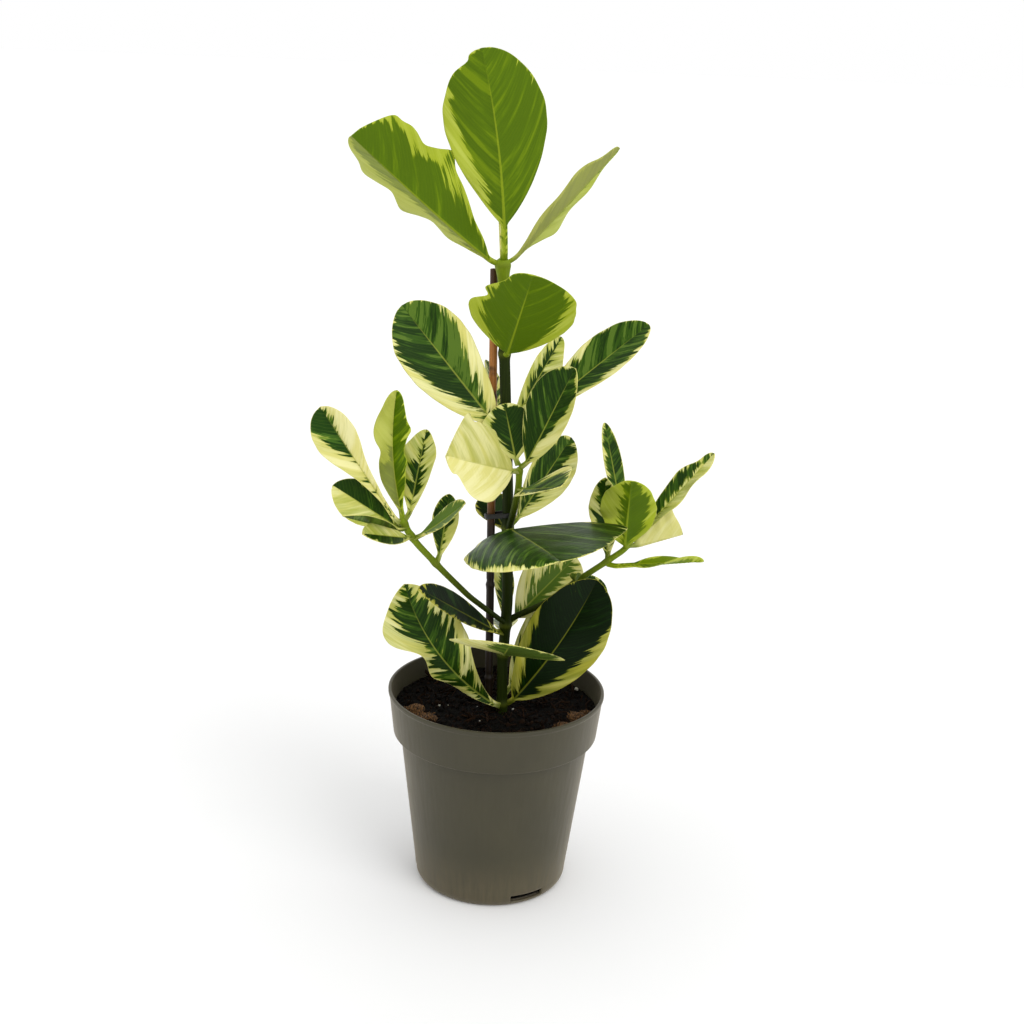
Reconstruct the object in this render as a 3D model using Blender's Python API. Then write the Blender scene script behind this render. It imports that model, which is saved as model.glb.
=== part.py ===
"""Potted clusia: a variegated Clusia rosea in a 17 cm nursery pot, tied to a bamboo stake.

The origin is the centre of the pot's underside, +Z is up and the viewer's side is -Y.
Lengths in the tables are millimetres and angles degrees; meshes are in metres.
"""
import math

import bmesh
import bpy
import numpy as np
from mathutils import Euler, Vector

MM = 0.001
GAP = 0.3  # clearance between neighbouring pieces

# Pot: a thin injection-moulded tapered pot with a stepped collar.
POT_HEIGHT = 161.0
RIM_RADIUS = 85.0
LIP_HEIGHT = 2.5
LIP_OVERHANG = 0.9
COLLAR_HEIGHT = 33.6
COLLAR_FOOT_RADIUS = 80.5
STEP_HEIGHT = 5.0
BODY_TOP_RADIUS = 74.9
BODY_FOOT_RADIUS = 60.8
FOOT_CURVE = 9.0
FOOT_RADIUS = 55.0
WALL = 1.5
FLOOR_TOP = 3.0
RECESS_DEPTH = 1.5
RECESS_INNER = 18.0
RECESS_OUTER = 46.0
POT_SEGMENTS = 48

# Three drain slots round the foot of the wall.
SLOT_WIDTH = 28.0
SLOT_LOW = 3.7
SLOT_HIGH = 9.6
SLOT_DEPTH = 16.0
SLOT_AZIMUTHS = (-60.0, 60.0, 180.0)

# Soil, with the sockets that the stem and the stake stand in.
SOIL_LEVEL = 142.0
SOIL_RELIEF = 0.8
SOIL_RINGS = (0.28, 0.55, 0.8)  # shares of the soil's radius
STEM_DEPTH = 20.0
STAKE_DEPTH = 100.0

# Stake and tie.
STAKE_RADIUS = 3.2
STAKE_FOOT = Vector((-5.5, -3.0, 141.0))
STAKE_TOP = Vector((-12.8, 4.0, 489.0))
STAKE_SIDES = 12
TIE_HEIGHT = 304.0
TIE_BAND = 3.6
TIE_WALL = 1.4
TIE_TILT = 12.0
TIE_POINTS = 32

# Leaves.
LEAF_THICKNESS = 1.2
LEAF_ROWS = 8
LEAF_COLUMNS = 4
STALK_HALF_WIDTH = 1.9
TIP_HALF_WIDTH = 1.2
LEAF_STANDOFF = 1.8  # from the shoot to the leaf stalk

# Shoots: centre-line points, then the radius at the foot and at the tip.
SHOOTS = {
    "main_stem": (
        [(5, -5, 142), (4, -5, 186), (6, -5, 236), (5, -5, 270), (3, -5, 325),
         (-1, -5, 394), (-3, -5, 424), (-6, -5, 485), (-7, -5, 500)],
        (4.2, 3.6),
    ),
    "front_shoot": (
        [(6, -13, 301), (9, -18, 317), (11, -22, 331), (11, -24, 344), (11, -24, 349)],
        (2.6, 2.4),
    ),
    "left_shoot": (
        [(-1, -12, 224), (-23, -27, 246), (-43, -39, 270), (-63, -47, 294), (-71, -50, 307),
         (-73, -51, 314)],
        (2.0, 2.6),
    ),
    "right_shoot": (
        [(12, -3, 222), (35, -6, 235), (63, -12, 260), (78, -14, 272), (95, -16, 286),
         (98, -15, 295)],
        (2.4, 2.2),
    ),
}

# Colour and roughness of each material.
FINISHES = {
    "pot_plastic": ((0.095, 0.088, 0.070), 0.5),
    "soil_peat": ((0.012, 0.009, 0.007), 0.95),
    "bark": ((0.110, 0.050, 0.022), 0.9),
    "green_stem": ((0.060, 0.085, 0.014), 0.5),
    "bamboo": ((0.230, 0.115, 0.040), 0.55),
    "tie_plastic": ((0.010, 0.010, 0.010), 0.4),
    "leaf_young": ((0.140, 0.230, 0.010), 0.45),
    "leaf_marbled": ((0.045, 0.110, 0.020), 0.35),
    "leaf_dark": ((0.008, 0.030, 0.006), 0.35),
    "leaf_cream": ((0.700, 0.680, 0.260), 0.4),
}


def clear_scene():
    """Remove everything the start-up file holds."""
    for obj in list(bpy.data.objects):
        bpy.data.objects.remove(obj)


def material(name):
    """The material of this name, made on first use."""
    found = bpy.data.materials.get(name)
    if found:
        return found
    colour, roughness = FINISHES[name]
    made = bpy.data.materials.new(name)
    made.use_nodes = True
    shader = made.node_tree.nodes["Principled BSDF"]
    shader.inputs["Base Color"].default_value = (*colour, 1.0)
    shader.inputs["Roughness"].default_value = roughness
    return made


def add_object(name, data, finish):
    obj = bpy.data.objects.new(name, data)
    obj.data.materials.append(material(finish))
    bpy.context.scene.collection.objects.link(obj)
    return obj


def smooth(mesh):
    """Shade the mesh smooth, apart from its edges sharper than 40 degrees."""
    mesh.shade_smooth()
    mesh.set_sharp_from_angle(angle=math.radians(40))
    return mesh


def mesh_of(name, points, faces):
    """A smooth mesh from points in millimetres."""
    mesh = bpy.data.meshes.new(name)
    mesh.from_pydata([[c * MM for c in point] for point in points], [], faces)
    mesh.update()
    return smooth(mesh)


def cut_with(obj, cutter):
    """Cut the cutter's shape out of the object."""
    cutter.hide_render = True
    cutter.display_type = "WIRE"
    cut = obj.modifiers.new("Cut", "BOOLEAN")
    cut.operation = "DIFFERENCE"
    cut.solver = "EXACT"
    cut.object = cutter


# ---------------------------------------------------------------- pot


def pot_profile():
    """The wall's section: up the inside, over the lip, down the outside and in to the axis."""
    step_top = POT_HEIGHT - COLLAR_HEIGHT
    step_low = step_top - STEP_HEIGHT
    collar_top = RIM_RADIUS - LIP_OVERHANG
    inside = [
        (0, FLOOR_TOP),
        (BODY_FOOT_RADIUS - WALL - 3, FLOOR_TOP),
        (BODY_FOOT_RADIUS - WALL, FLOOR_TOP + 6),
        (BODY_TOP_RADIUS - WALL, step_low + WALL / 2),
        (COLLAR_FOOT_RADIUS - WALL, step_top + WALL / 2),
        (collar_top - WALL, POT_HEIGHT),
    ]
    outside = [
        (RIM_RADIUS, POT_HEIGHT),
        (RIM_RADIUS, POT_HEIGHT - LIP_HEIGHT),
        (collar_top, POT_HEIGHT - LIP_HEIGHT - LIP_OVERHANG),
        (COLLAR_FOOT_RADIUS, step_top),
        (BODY_TOP_RADIUS, step_low),
        (BODY_FOOT_RADIUS, FOOT_CURVE),
    ]
    # The foot is a quarter of an ellipse from the wall to the ring the pot stands on.
    for degrees in (25, 50, 72):
        angle = math.radians(degrees)
        radius = FOOT_RADIUS + (BODY_FOOT_RADIUS - FOOT_RADIUS) * math.cos(angle)
        outside.append((radius, FOOT_CURVE * (1 - math.sin(angle))))
    underside = [
        (FOOT_RADIUS, 0),
        (RECESS_OUTER, 0),
        (RECESS_OUTER - 1, RECESS_DEPTH),
        (RECESS_INNER + 1, RECESS_DEPTH),
        (RECESS_INNER, 0),
        (0, 0),
    ]
    return inside + outside + underside


def turned(name, profile, finish, segments):
    """The closed solid swept by a section that starts and ends on the Z axis."""
    points = [(radius, 0, height) for radius, height in profile]
    mesh = bpy.data.meshes.new(name)
    edges = [(i, i + 1) for i in range(len(points) - 1)]
    mesh.from_pydata([[c * MM for c in point] for point in points], edges, [])
    obj = add_object(name, mesh, finish)
    screw = obj.modifiers.new("Turn", "SCREW")
    screw.steps = segments
    screw.render_steps = segments
    screw.use_merge_vertices = True
    screw.merge_threshold = 0.00001
    screw.use_smooth_shade = True
    return obj


def slot_cutter():
    """Three blocks that cut the drain slots through the foot of the wall."""
    shape = bmesh.new()
    for azimuth in SLOT_AZIMUTHS:
        block = bmesh.ops.create_cube(shape, size=1.0)["verts"]
        size = Vector((SLOT_DEPTH, SLOT_WIDTH, SLOT_HIGH - SLOT_LOW)) * MM
        bmesh.ops.scale(shape, verts=block, vec=size)
        place = Vector((BODY_FOOT_RADIUS, 0, (SLOT_LOW + SLOT_HIGH) / 2)) * MM
        bmesh.ops.translate(shape, verts=block, vec=place)
        turn = Euler((0, 0, math.radians(azimuth))).to_matrix()
        bmesh.ops.rotate(shape, verts=block, cent=(0, 0, 0), matrix=turn)
    mesh = bpy.data.meshes.new("slot_cutter")
    shape.to_mesh(mesh)
    shape.free()
    return add_object("slot_cutter", mesh, "pot_plastic")


def make_pot():
    pot = turned("pot", pot_profile(), "pot_plastic", POT_SEGMENTS)
    cut_with(pot, slot_cutter())


# ---------------------------------------------------------------- soil


def soil_height(x, y):
    """Height of the soil's uneven top: three crossing low waves."""
    mounds = math.sin(x / 9 + 1.3) * math.cos(y / 11)
    ripples = 0.6 * math.sin((x + y) / 6.1)
    slope = 0.4 * math.cos((x - 2 * y) / 14)
    return SOIL_LEVEL + SOIL_RELIEF * (mounds + ripples + slope)


def soil_mesh():
    """Rings of points: the level top, then down the pot's inner wall, then in across its floor."""
    step_top = POT_HEIGHT - COLLAR_HEIGHT + WALL / 2 + GAP
    step_low = step_top - STEP_HEIGHT
    inset = WALL + 2 * GAP
    flare = (RIM_RADIUS - LIP_OVERHANG - COLLAR_FOOT_RADIUS) / COLLAR_HEIGHT
    edge = COLLAR_FOOT_RADIUS - inset + flare * (SOIL_LEVEL - step_top)
    wall = [
        (COLLAR_FOOT_RADIUS - inset, step_top),
        (BODY_TOP_RADIUS - inset, step_low),
        (BODY_FOOT_RADIUS - inset, FLOOR_TOP + 7),
        (BODY_FOOT_RADIUS - inset - 4, FLOOR_TOP + GAP),
    ]
    points = [(0, 0, soil_height(0, 0))]
    rings = [(edge * share, None) for share in SOIL_RINGS] + [(edge, None)] + wall
    for radius, height in rings:
        for step in range(POT_SEGMENTS):
            angle = 2 * math.pi * step / POT_SEGMENTS
            x = radius * math.cos(angle)
            y = radius * math.sin(angle)
            points.append((x, y, soil_height(x, y) if height is None else height))
    points.append((0, 0, FLOOR_TOP + GAP))
    faces = []
    last = len(rings) - 1
    for step in range(POT_SEGMENTS):
        after = (step + 1) % POT_SEGMENTS
        faces.append((0, 1 + step, 1 + after))
        for ring in range(last):
            upper = 1 + ring * POT_SEGMENTS
            lower = upper + POT_SEGMENTS
            faces.append((upper + step, lower + step, lower + after, upper + after))
        outer = 1 + last * POT_SEGMENTS
        faces.append((len(points) - 1, outer + after, outer + step))
    return mesh_of("soil", points, faces)


def rod_between(name, foot, top, radius, sides, finish):
    """A straight round rod, placed at the middle of its length."""
    shape = bmesh.new()
    axis = top - foot
    bmesh.ops.create_cone(
        shape,
        cap_ends=True,
        segments=sides,
        radius1=radius * MM,
        radius2=radius * MM,
        depth=axis.length * MM,
    )
    mesh = bpy.data.meshes.new(name)
    shape.to_mesh(mesh)
    shape.free()
    rod = add_object(name, smooth(mesh), finish)
    rod.location = (foot + top) / 2 * MM
    rod.rotation_euler = axis.to_track_quat("Z", "Y").to_euler()
    return rod


def stake_point(height):
    """The point of the stake's axis at this height."""
    share = (height - STAKE_FOOT.z) / (STAKE_TOP.z - STAKE_FOOT.z)
    return STAKE_FOOT.lerp(STAKE_TOP, share)


def make_soil():
    """The soil, with a socket for the stem and one for the stake."""
    soil = add_object("soil", soil_mesh(), "soil_peat")
    foot, top = (Vector(point) for point in SHOOTS["main_stem"][0][:2])
    radius = SHOOTS["main_stem"][1][0]
    below = Vector((foot.x, foot.y, foot.z - STEM_DEPTH - GAP))
    above = foot + Vector((0, 0, 12))
    cut_with(soil, rod_between("stem_socket", below, above, radius + 2 * GAP, 16, "soil_peat"))
    deep = stake_point(SOIL_LEVEL - STAKE_DEPTH - GAP)
    clear = stake_point(SOIL_LEVEL + 12)
    cut_with(soil, rod_between("stake_socket", deep, clear, STAKE_RADIUS + GAP, 16, "soil_peat"))


# Bark chips on the soil: azimuth, distance from the axis, length, width, height, turn.
CHIPS = {
    "bark_chip_left": (196, 66, 13, 9, 6, 20),
    "bark_chip_left_long": (207, 60, 15, 5, 4, 130),
    "bark_chip_left_small": (219, 63, 8, 6, 4, 75),
    "bark_chip_right": (-17, 66, 12, 8, 5, 50),
    "bark_chip_right_long": (-31, 64, 14, 5, 4, 150),
    "bark_chip_right_small": (-6, 72, 7, 5, 4, 10),
    "bark_chip_front": (-63, 72, 7, 5, 3, 165),
}


def make_chip(name, azimuth, distance, length, width, height, turn):
    """A torn flake of bark: an icosphere squashed and roughened, then laid on the soil."""
    shape = bmesh.new()
    bmesh.ops.create_icosphere(shape, subdivisions=2, radius=0.5)
    for vert in shape.verts:
        way = vert.co.normalized()
        torn = 0.2 * math.sin(7 * way.x + turn) * math.cos(5 * way.y)
        rough = 1 + torn + 0.12 * math.sin(9 * way.z + length)
        vert.co = Vector((way.x * length, way.y * width, way.z * height)) * rough / 2 * MM
    mesh = bpy.data.meshes.new(name)
    shape.to_mesh(mesh)
    low = min(vert.co.z for vert in shape.verts)
    shape.free()
    chip = add_object(name, smooth(mesh), "bark")
    x = distance * math.cos(math.radians(azimuth))
    y = distance * math.sin(math.radians(azimuth))
    reach = length / 2
    around = [(0, 0), (reach, 0), (-reach, 0), (0, reach), (0, -reach)]
    ground = max(soil_height(x + dx, y + dy) for dx, dy in around)
    chip.location = (x * MM, y * MM, (ground + GAP) * MM - low)
    chip.rotation_euler = (0, 0, math.radians(turn))


# ---------------------------------------------------------------- stems, stake and tie


def shoot_lengths(points):
    """Distance along the shoot's centre line at each of its points."""
    lengths = [0.0]
    for before, after in zip(points, points[1:]):
        lengths.append(lengths[-1] + (Vector(after) - Vector(before)).length)
    return lengths


def shoot_at(name, along):
    """Point, direction and radius of the shoot this far along its centre line."""
    points, radii = SHOOTS[name]
    lengths = shoot_lengths(points)

    def point(distance):
        return Vector(np.interp(distance, lengths, [p[axis] for p in points]) for axis in range(3))

    ahead = point(min(along + 3, lengths[-1]))
    behind = point(max(along - 3, 0))
    radius = np.interp(along / lengths[-1], [0, 1], radii)
    return point(along), (ahead - behind).normalized(), float(radius)


def make_shoot(name):
    """A tapered tube on the shoot's centre line; the main stem goes on down into the soil."""
    points, radii = SHOOTS[name]
    lengths = shoot_lengths(points)
    points = [Vector(point) for point in points]
    scales = [float(np.interp(length / lengths[-1], [0, 1], radii)) for length in lengths]
    if name == "main_stem":
        points.insert(0, points[0] - Vector((0, 0, STEM_DEPTH)))
        scales.insert(0, scales[0])
    curve = bpy.data.curves.new(name, "CURVE")
    curve.dimensions = "3D"
    curve.bevel_depth = MM
    curve.bevel_resolution = 3
    curve.use_fill_caps = True
    spline = curve.splines.new("POLY")
    spline.points.add(len(points) - 1)
    for knot, point, scale in zip(spline.points, points, scales):
        knot.co = (*(point * MM), 1)
        knot.radius = scale
    add_object(name, curve, "green_stem")


def belt_outline(first, second, margin):
    """The outline of a band drawn round two circles, each given as (centre x, radius)."""
    outline = []
    for step in range(TIE_POINTS):
        angle = 2 * math.pi * (step + 0.5) / TIE_POINTS
        centre, radius = max((first, second), key=lambda circle: circle[0] * math.cos(angle) + circle[1])
        outline.append((centre + (radius + margin) * math.cos(angle), (radius + margin) * math.sin(angle)))
    return outline


def make_tie():
    """A flat plastic band looped round the stake and the main stem."""
    stake = stake_point(TIE_HEIGHT)
    stem, _, radius = shoot_at("main_stem", TIE_HEIGHT - SOIL_LEVEL)
    spread = (stem - stake).xy.length
    slack = 3 * GAP
    first = (-spread / 2, STAKE_RADIUS + slack)
    second = (spread / 2, radius + slack)
    inner = belt_outline(first, second, 0)
    outer = belt_outline(first, second, TIE_WALL)
    points = []
    for outline, height in ((inner, 0), (inner, TIE_BAND), (outer, TIE_BAND), (outer, 0)):
        points += [(x, y, height - TIE_BAND / 2) for x, y in outline]
    faces = []
    for ring in range(4):
        here = ring * TIE_POINTS
        there = (ring + 1) % 4 * TIE_POINTS
        for step in range(TIE_POINTS):
            after = (step + 1) % TIE_POINTS
            faces.append((here + step, there + step, there + after, here + after))
    tie = add_object("tie", mesh_of("tie", points, faces), "tie_plastic")
    middle = (stake + stem) / 2
    tie.location = Vector((middle.x, middle.y, TIE_HEIGHT)) * MM
    bearing = math.atan2(stem.y - stake.y, stem.x - stake.x)
    tie.rotation_euler = (0, math.radians(-TIE_TILT), bearing)


# ---------------------------------------------------------------- leaves


def leaf_half_width(share, length, width, stalk, widest, full):
    """Half the blade's width at each share of the length: a sine hump after a narrow stalk."""
    along = np.clip((share - stalk / length) / (1 - stalk / length), 0, 1)
    power = math.log(0.5) / math.log(widest)
    blade = width / 2 * np.clip(np.sin(np.pi * along**power), 0, 1) ** full
    ends = STALK_HALF_WIDTH * np.sqrt(1 - along) + TIP_HALF_WIDTH * along**4
    return np.maximum(blade, ends)


def leaf_points(length, width, stalk=5, widest=0.6, full=0.55, bend=0, sweep=0, twist=0,
                fold=(8, 8), curl=(10, 10), wave=(0, 0), waves=2.5, phase=(0, 0.5)):
    """Points of the leaf's middle surface, rows from stalk to tip and columns from left to right.

    The midrib leaves the origin along +X with the upper side facing +Z. Over its length it turns
    down by bend, towards +Y by sweep, and round itself by twist. Each half rises from the midrib
    at its fold angle and curls further by its curl angle; wave ripples its margin.
    """
    share = np.linspace(0, 1, LEAF_ROWS + 1)
    pitch = np.radians(-bend * share)
    yaw = np.radians(sweep * share)
    roll = np.radians(twist * share)
    along = np.stack([np.cos(pitch) * np.cos(yaw), np.cos(pitch) * np.sin(yaw), np.sin(pitch)], -1)
    level = np.stack([-np.sin(yaw), np.cos(yaw), 0 * yaw], -1)
    upright = np.cross(along, level)
    left = level * np.cos(roll)[:, None] + upright * np.sin(roll)[:, None]
    normal = upright * np.cos(roll)[:, None] - level * np.sin(roll)[:, None]
    steps = (along[:-1] + along[1:]) / 2 * length / LEAF_ROWS
    midrib = np.vstack([np.zeros(3), np.cumsum(steps, 0)])
    half = leaf_half_width(share, length, width, stalk, widest, full)
    blade = np.clip((share - stalk / length) / (1 - stalk / length), 0, 1)
    columns = []
    for position in np.linspace(1, -1, LEAF_COLUMNS + 1):
        side = 0 if position >= 0 else 1
        out = abs(position)
        start = math.radians(fold[side])
        turn = math.radians(curl[side]) or 0.0001
        across = half / turn * (math.sin(start + turn * out) - math.sin(start))
        rise = half / turn * (math.cos(start) - math.cos(start + turn * out))
        ripple = np.sin(2 * np.pi * (waves * share + phase[side])) * np.sqrt(np.sin(np.pi * blade).clip(0))
        rise = rise + wave[side] * ripple * out**2
        columns.append(midrib + math.copysign(1, position) * across[:, None] * left + rise[:, None] * normal)
    return np.stack(columns, 1)


def make_leaf(name, shoot, along, azimuth, rise, roll, length, width,
              finish="leaf_marbled", side=None, **shape):
    """A leaf growing from a shoot: it points to azimuth, climbs by rise and is rolled about its midrib.

    It leaves the shoot on the side it points to, or on the side given by that azimuth.
    """
    point, direction, radius = shoot_at(shoot, along)
    turn = Euler([math.radians(angle) for angle in (roll, -rise, azimuth)])
    way = turn.to_matrix().col[0]
    if side is not None:
        way = Vector((math.cos(math.radians(side)), math.sin(math.radians(side)), 0))
    outward = (way - direction * way.dot(direction)).normalized()
    grid = leaf_points(length, width, **shape)
    rows, columns = grid.shape[:2]
    faces = []
    for row in range(rows - 1):
        for column in range(columns - 1):
            corner = row * columns + column
            faces.append((corner, corner + columns, corner + columns + 1, corner + 1))
    leaf = add_object(name, mesh_of(name, grid.reshape(-1, 3).tolist(), faces), finish)
    leaf.location = (point + outward * (radius + LEAF_STANDOFF)) * MM
    leaf.rotation_euler = turn
    blade = leaf.modifiers.new("Blade", "SOLIDIFY")
    blade.thickness = LEAF_THICKNESS * MM
    blade.offset = 0


def make_leaves():
    """Every leaf: its shoot, distance along it, azimuth, rise, roll, length and width, then its shape."""
    make_leaf("leaf_top_centre", "main_stem", 356, 262, 80, 10, 149, 74, stalk=26, sweep=-13, fold=(10, 10),
              wave=(1, 2), widest=0.6, finish="leaf_young")
    make_leaf("leaf_top_left", "main_stem", 352, 190, 38, 80, 138, 70, stalk=8, sweep=6, bend=8,
              fold=(0, 55), curl=(5, 10), wave=(4, 6), waves=2.2, widest=0.64, full=0.5,
              finish="leaf_young")
    make_leaf("leaf_top_right", "main_stem", 353, 20, 38, -30, 118, 46, stalk=8, bend=-14, fold=(0, 10),
              curl=(5, 5), wave=(4, 1), finish="leaf_young")
    make_leaf("leaf_collar_front", "main_stem", 286, 284, 46, -18, 96, 76, fold=(0, 0), curl=(8, 8),
              widest=0.58, full=0.5, finish="leaf_young")
    make_leaf("leaf_collar_back", "main_stem", 288, 86, 20, 0, 72, 46, stalk=6, bend=10)
    make_leaf("leaf_upper_left", "main_stem", 229, 175, 50, -70, 118, 58, stalk=8, side=222, fold=(6, 6),
              widest=0.6, full=0.5)
    make_leaf("leaf_upper_right", "main_stem", 227, 16, 38, 30, 130, 42, stalk=14, fold=(10, 10),
              widest=0.66)
    make_leaf("leaf_upper_back_right", "main_stem", 232, 50, 47, 60, 82, 26, fold=(15, 15), wave=(0, 3))
    make_leaf("leaf_upper_back_left", "main_stem", 232, 112, 45, 40, 58, 22)
    make_leaf("leaf_front_left", "front_shoot", 46, 222, 18, -84, 70, 62, stalk=4, fold=(30, 10),
              widest=0.6, finish="leaf_cream")
    make_leaf("leaf_front_small", "front_shoot", 50, 140, 72, -50, 46, 32, side=120, stalk=4, full=0.5)
    make_leaf("leaf_front_right", "front_shoot", 49, 332, 65, 70, 87, 46, side=0, fold=(10, 10),
              curl=(15, 15), widest=0.57)
    make_leaf("leaf_front_low", "front_shoot", 32, 302, 18, 20, 54, 50, stalk=4)
    make_leaf("leaf_mid_right_under", "main_stem", 155, 38, 49, 80, 81, 40, stalk=6)
    make_leaf("leaf_mid_back_left", "main_stem", 149, 115, 27, -20, 40, 28, stalk=4, finish="leaf_dark")
    make_leaf("leaf_mid_front", "main_stem", 153, 287, 9, 0, 120, 120, bend=4, fold=(0, -8), curl=(8, -12),
              widest=0.5, full=0.45)
    make_leaf("leaf_left_shoot_low_back", "left_shoot", 77, 30, 82, 58, 50, 20, stalk=4, fold=(10, 10))
    make_leaf("leaf_left_shoot_low_front", "left_shoot", 104, 330, 36, 40, 54, 20, stalk=4, bend=-10)
    make_leaf("leaf_left_shoot_tall", "left_shoot", 122, 186, 74, -74, 94, 36, sweep=-26, fold=(10, 50),
              wave=(4, 3), waves=2.5, finish="leaf_young")
    make_leaf("leaf_left_shoot_cream", "left_shoot", 119, 190, 57, -76, 104, 38, side=175, stalk=18,
              fold=(0, 50), widest=0.72, full=0.45, finish="leaf_cream")
    make_leaf("leaf_left_shoot_right", "left_shoot", 121, 54, 74, 14, 66, 24, side=15, fold=(10, 10))
    make_leaf("leaf_left_shoot_olive", "left_shoot", 114, 186, 34, -70, 60, 32, fold=(12, 12), widest=0.6,
              side=170)
    make_leaf("leaf_left_shoot_edge", "left_shoot", 115, 232, 22, 12, 66, 22, stalk=8, side=240)
    make_leaf("leaf_left_shoot_under", "left_shoot", 107, 236, 10, -40, 58, 20, stalk=4, side=270)
    make_leaf("leaf_right_shoot_front", "right_shoot", 106, 268, 60, -5, 71, 42, stalk=2, fold=(5, 5),
              wave=(1, 2), widest=0.52, finish="leaf_young")
    make_leaf("leaf_right_shoot_left", "right_shoot", 88, 230, 82, -160, 66, 22, side=100, stalk=3,
              fold=(10, 10))
    make_leaf("leaf_right_shoot_thin", "right_shoot", 113, 128, 69, -10, 88, 16, stalk=6)
    make_leaf("leaf_right_shoot_right", "right_shoot", 116, 5, 51, 40, 86, 24, stalk=8, fold=(15, 15),
              wave=(0, 2))
    make_leaf("leaf_right_shoot_cream", "right_shoot", 108, 20, 10, -85, 42, 48, stalk=2, fold=(70, 5),
              wave=(0, 2), waves=4, finish="leaf_cream")
    make_leaf("leaf_right_shoot_low", "right_shoot", 86, 341, 12, 68, 74, 22, stalk=20, twist=-113,
              finish="leaf_young")
    make_leaf("leaf_right_shoot_stub", "right_shoot", 58, 280, 50, 0, 12, 9, stalk=1)
    make_leaf("leaf_low_left_thin", "main_stem", 68, 230, 33, -50, 110, 26, finish="leaf_dark")
    make_leaf("leaf_low_right_marble", "main_stem", 76, 36, 35, 50, 74, 50, wave=(1, 1))
    make_leaf("leaf_low_back_left", "main_stem", 74, 95, 42, 20, 56, 18)
    make_leaf("leaf_low_front_edge", "main_stem", 54, 272, 22.5, -9, 104, 86, fold=(-2, -2), curl=(3, 3),
              bend=-4)
    make_leaf("leaf_low_right_back", "main_stem", 48, 36, 25, 50, 102, 48, stalk=6)
    make_leaf("leaf_base_right", "main_stem", 8, 345, 52, 95, 130, 62, stalk=6, sweep=16, fold=(12, 8),
              curl=(12, 8), widest=0.6, full=0.5, finish="leaf_dark")
    make_leaf("leaf_base_left", "main_stem", 7, 198, 34, -90, 136, 56, side=250, sweep=-40, curl=(8, 8),
              wave=(6, 4), waves=2, phase=(0.2, 0.6), widest=0.68, full=0.6)
    make_leaf("leaf_back_top", "main_stem", 352, 97, 58, 5, 104, 42, stalk=18, bend=10)
    make_leaf("leaf_back_upper", "main_stem", 220, 84, -4, 0, 92, 48, stalk=8, bend=10)
    make_leaf("leaf_back_mid", "main_stem", 146, 80, -8, 0, 104, 56, stalk=8, bend=10)
    make_leaf("leaf_back_low", "main_stem", 64, 94, -4, 0, 84, 30, stalk=8, bend=10)
    make_leaf("leaf_back_base", "main_stem", 14, 60, 24, 20, 88, 36, stalk=8)


clear_scene()
make_pot()
make_soil()
for shoot_name in SHOOTS:
    make_shoot(shoot_name)
rod_between("stake", stake_point(SOIL_LEVEL - STAKE_DEPTH), STAKE_TOP, STAKE_RADIUS, STAKE_SIDES, "bamboo")
make_tie()
for chip_name, measures in CHIPS.items():
    make_chip(chip_name, *measures)
make_leaves()
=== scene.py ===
import itertools
import math
from functools import partial

import bpy
import numpy as np
from mathutils import Euler, Matrix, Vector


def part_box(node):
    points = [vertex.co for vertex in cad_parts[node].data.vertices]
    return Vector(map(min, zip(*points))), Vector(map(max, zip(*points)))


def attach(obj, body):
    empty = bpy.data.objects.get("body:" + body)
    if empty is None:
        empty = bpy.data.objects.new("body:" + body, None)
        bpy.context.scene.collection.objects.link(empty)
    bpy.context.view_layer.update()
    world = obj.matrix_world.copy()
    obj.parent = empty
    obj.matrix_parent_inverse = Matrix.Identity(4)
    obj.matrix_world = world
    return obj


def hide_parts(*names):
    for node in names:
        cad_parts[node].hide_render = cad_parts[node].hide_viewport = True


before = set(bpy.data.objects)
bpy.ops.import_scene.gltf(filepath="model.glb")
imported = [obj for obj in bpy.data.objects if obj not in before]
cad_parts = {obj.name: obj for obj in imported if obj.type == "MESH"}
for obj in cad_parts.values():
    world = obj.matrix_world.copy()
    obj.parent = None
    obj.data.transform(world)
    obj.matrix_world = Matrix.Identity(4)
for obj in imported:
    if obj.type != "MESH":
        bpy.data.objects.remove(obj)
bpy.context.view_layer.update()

MM = 0.001

# ======================================================================== nursery pot
# One shot of taupe-grey polypropylene, 1.5 mm thick: a tapered body, a stepped collar that
# lets pots nest, a rolled lip, and three drain slots through the foot. The mould leaves a
# dull fine grain and faint vertical draw marks; dust settles at the foot.

POT_COLUMNS = 240  # one every 1.5 degrees, so that a slot's sides fall on a column
SLOT_HALF_COLUMNS = 9
SLOT_AZIMUTHS = (-60, 60, 180)
SLOT_HEIGHTS = np.array([3.7, 5.2, 6.7, 8.2, 9.6])


def linear(hexcode, alpha=1.0):
    """An sRGB hex colour as the linear values that a shader takes."""
    channels = np.array([int(hexcode[i : i + 2], 16) for i in (1, 3, 5)]) / 255
    bent = np.where(channels <= 0.04045, channels / 12.92, ((channels + 0.055) / 1.055) ** 2.4)
    return (*bent.tolist(), alpha)


def fill(node, *values, **named):
    """Give a node's open sockets these values in turn, and its named sockets theirs: links or constants."""
    sockets = list(zip([socket for socket in node.inputs if socket.enabled], values))
    sockets += [(node.inputs[name.replace("_", " ")], value) for name, value in named.items()]
    for socket, value in sockets:
        if isinstance(value, bpy.types.NodeSocket):
            node.id_data.links.new(value, socket)
        else:
            socket.default_value = value


# What the word after a node's kind sets, as in "Math.MULTIPLY".
MODES = {"Math": "operation", "VectorMath": "operation", "MapRange": "interpolation_type", "Mix": "data_type",
         "Attribute": "attribute_name"}


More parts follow.
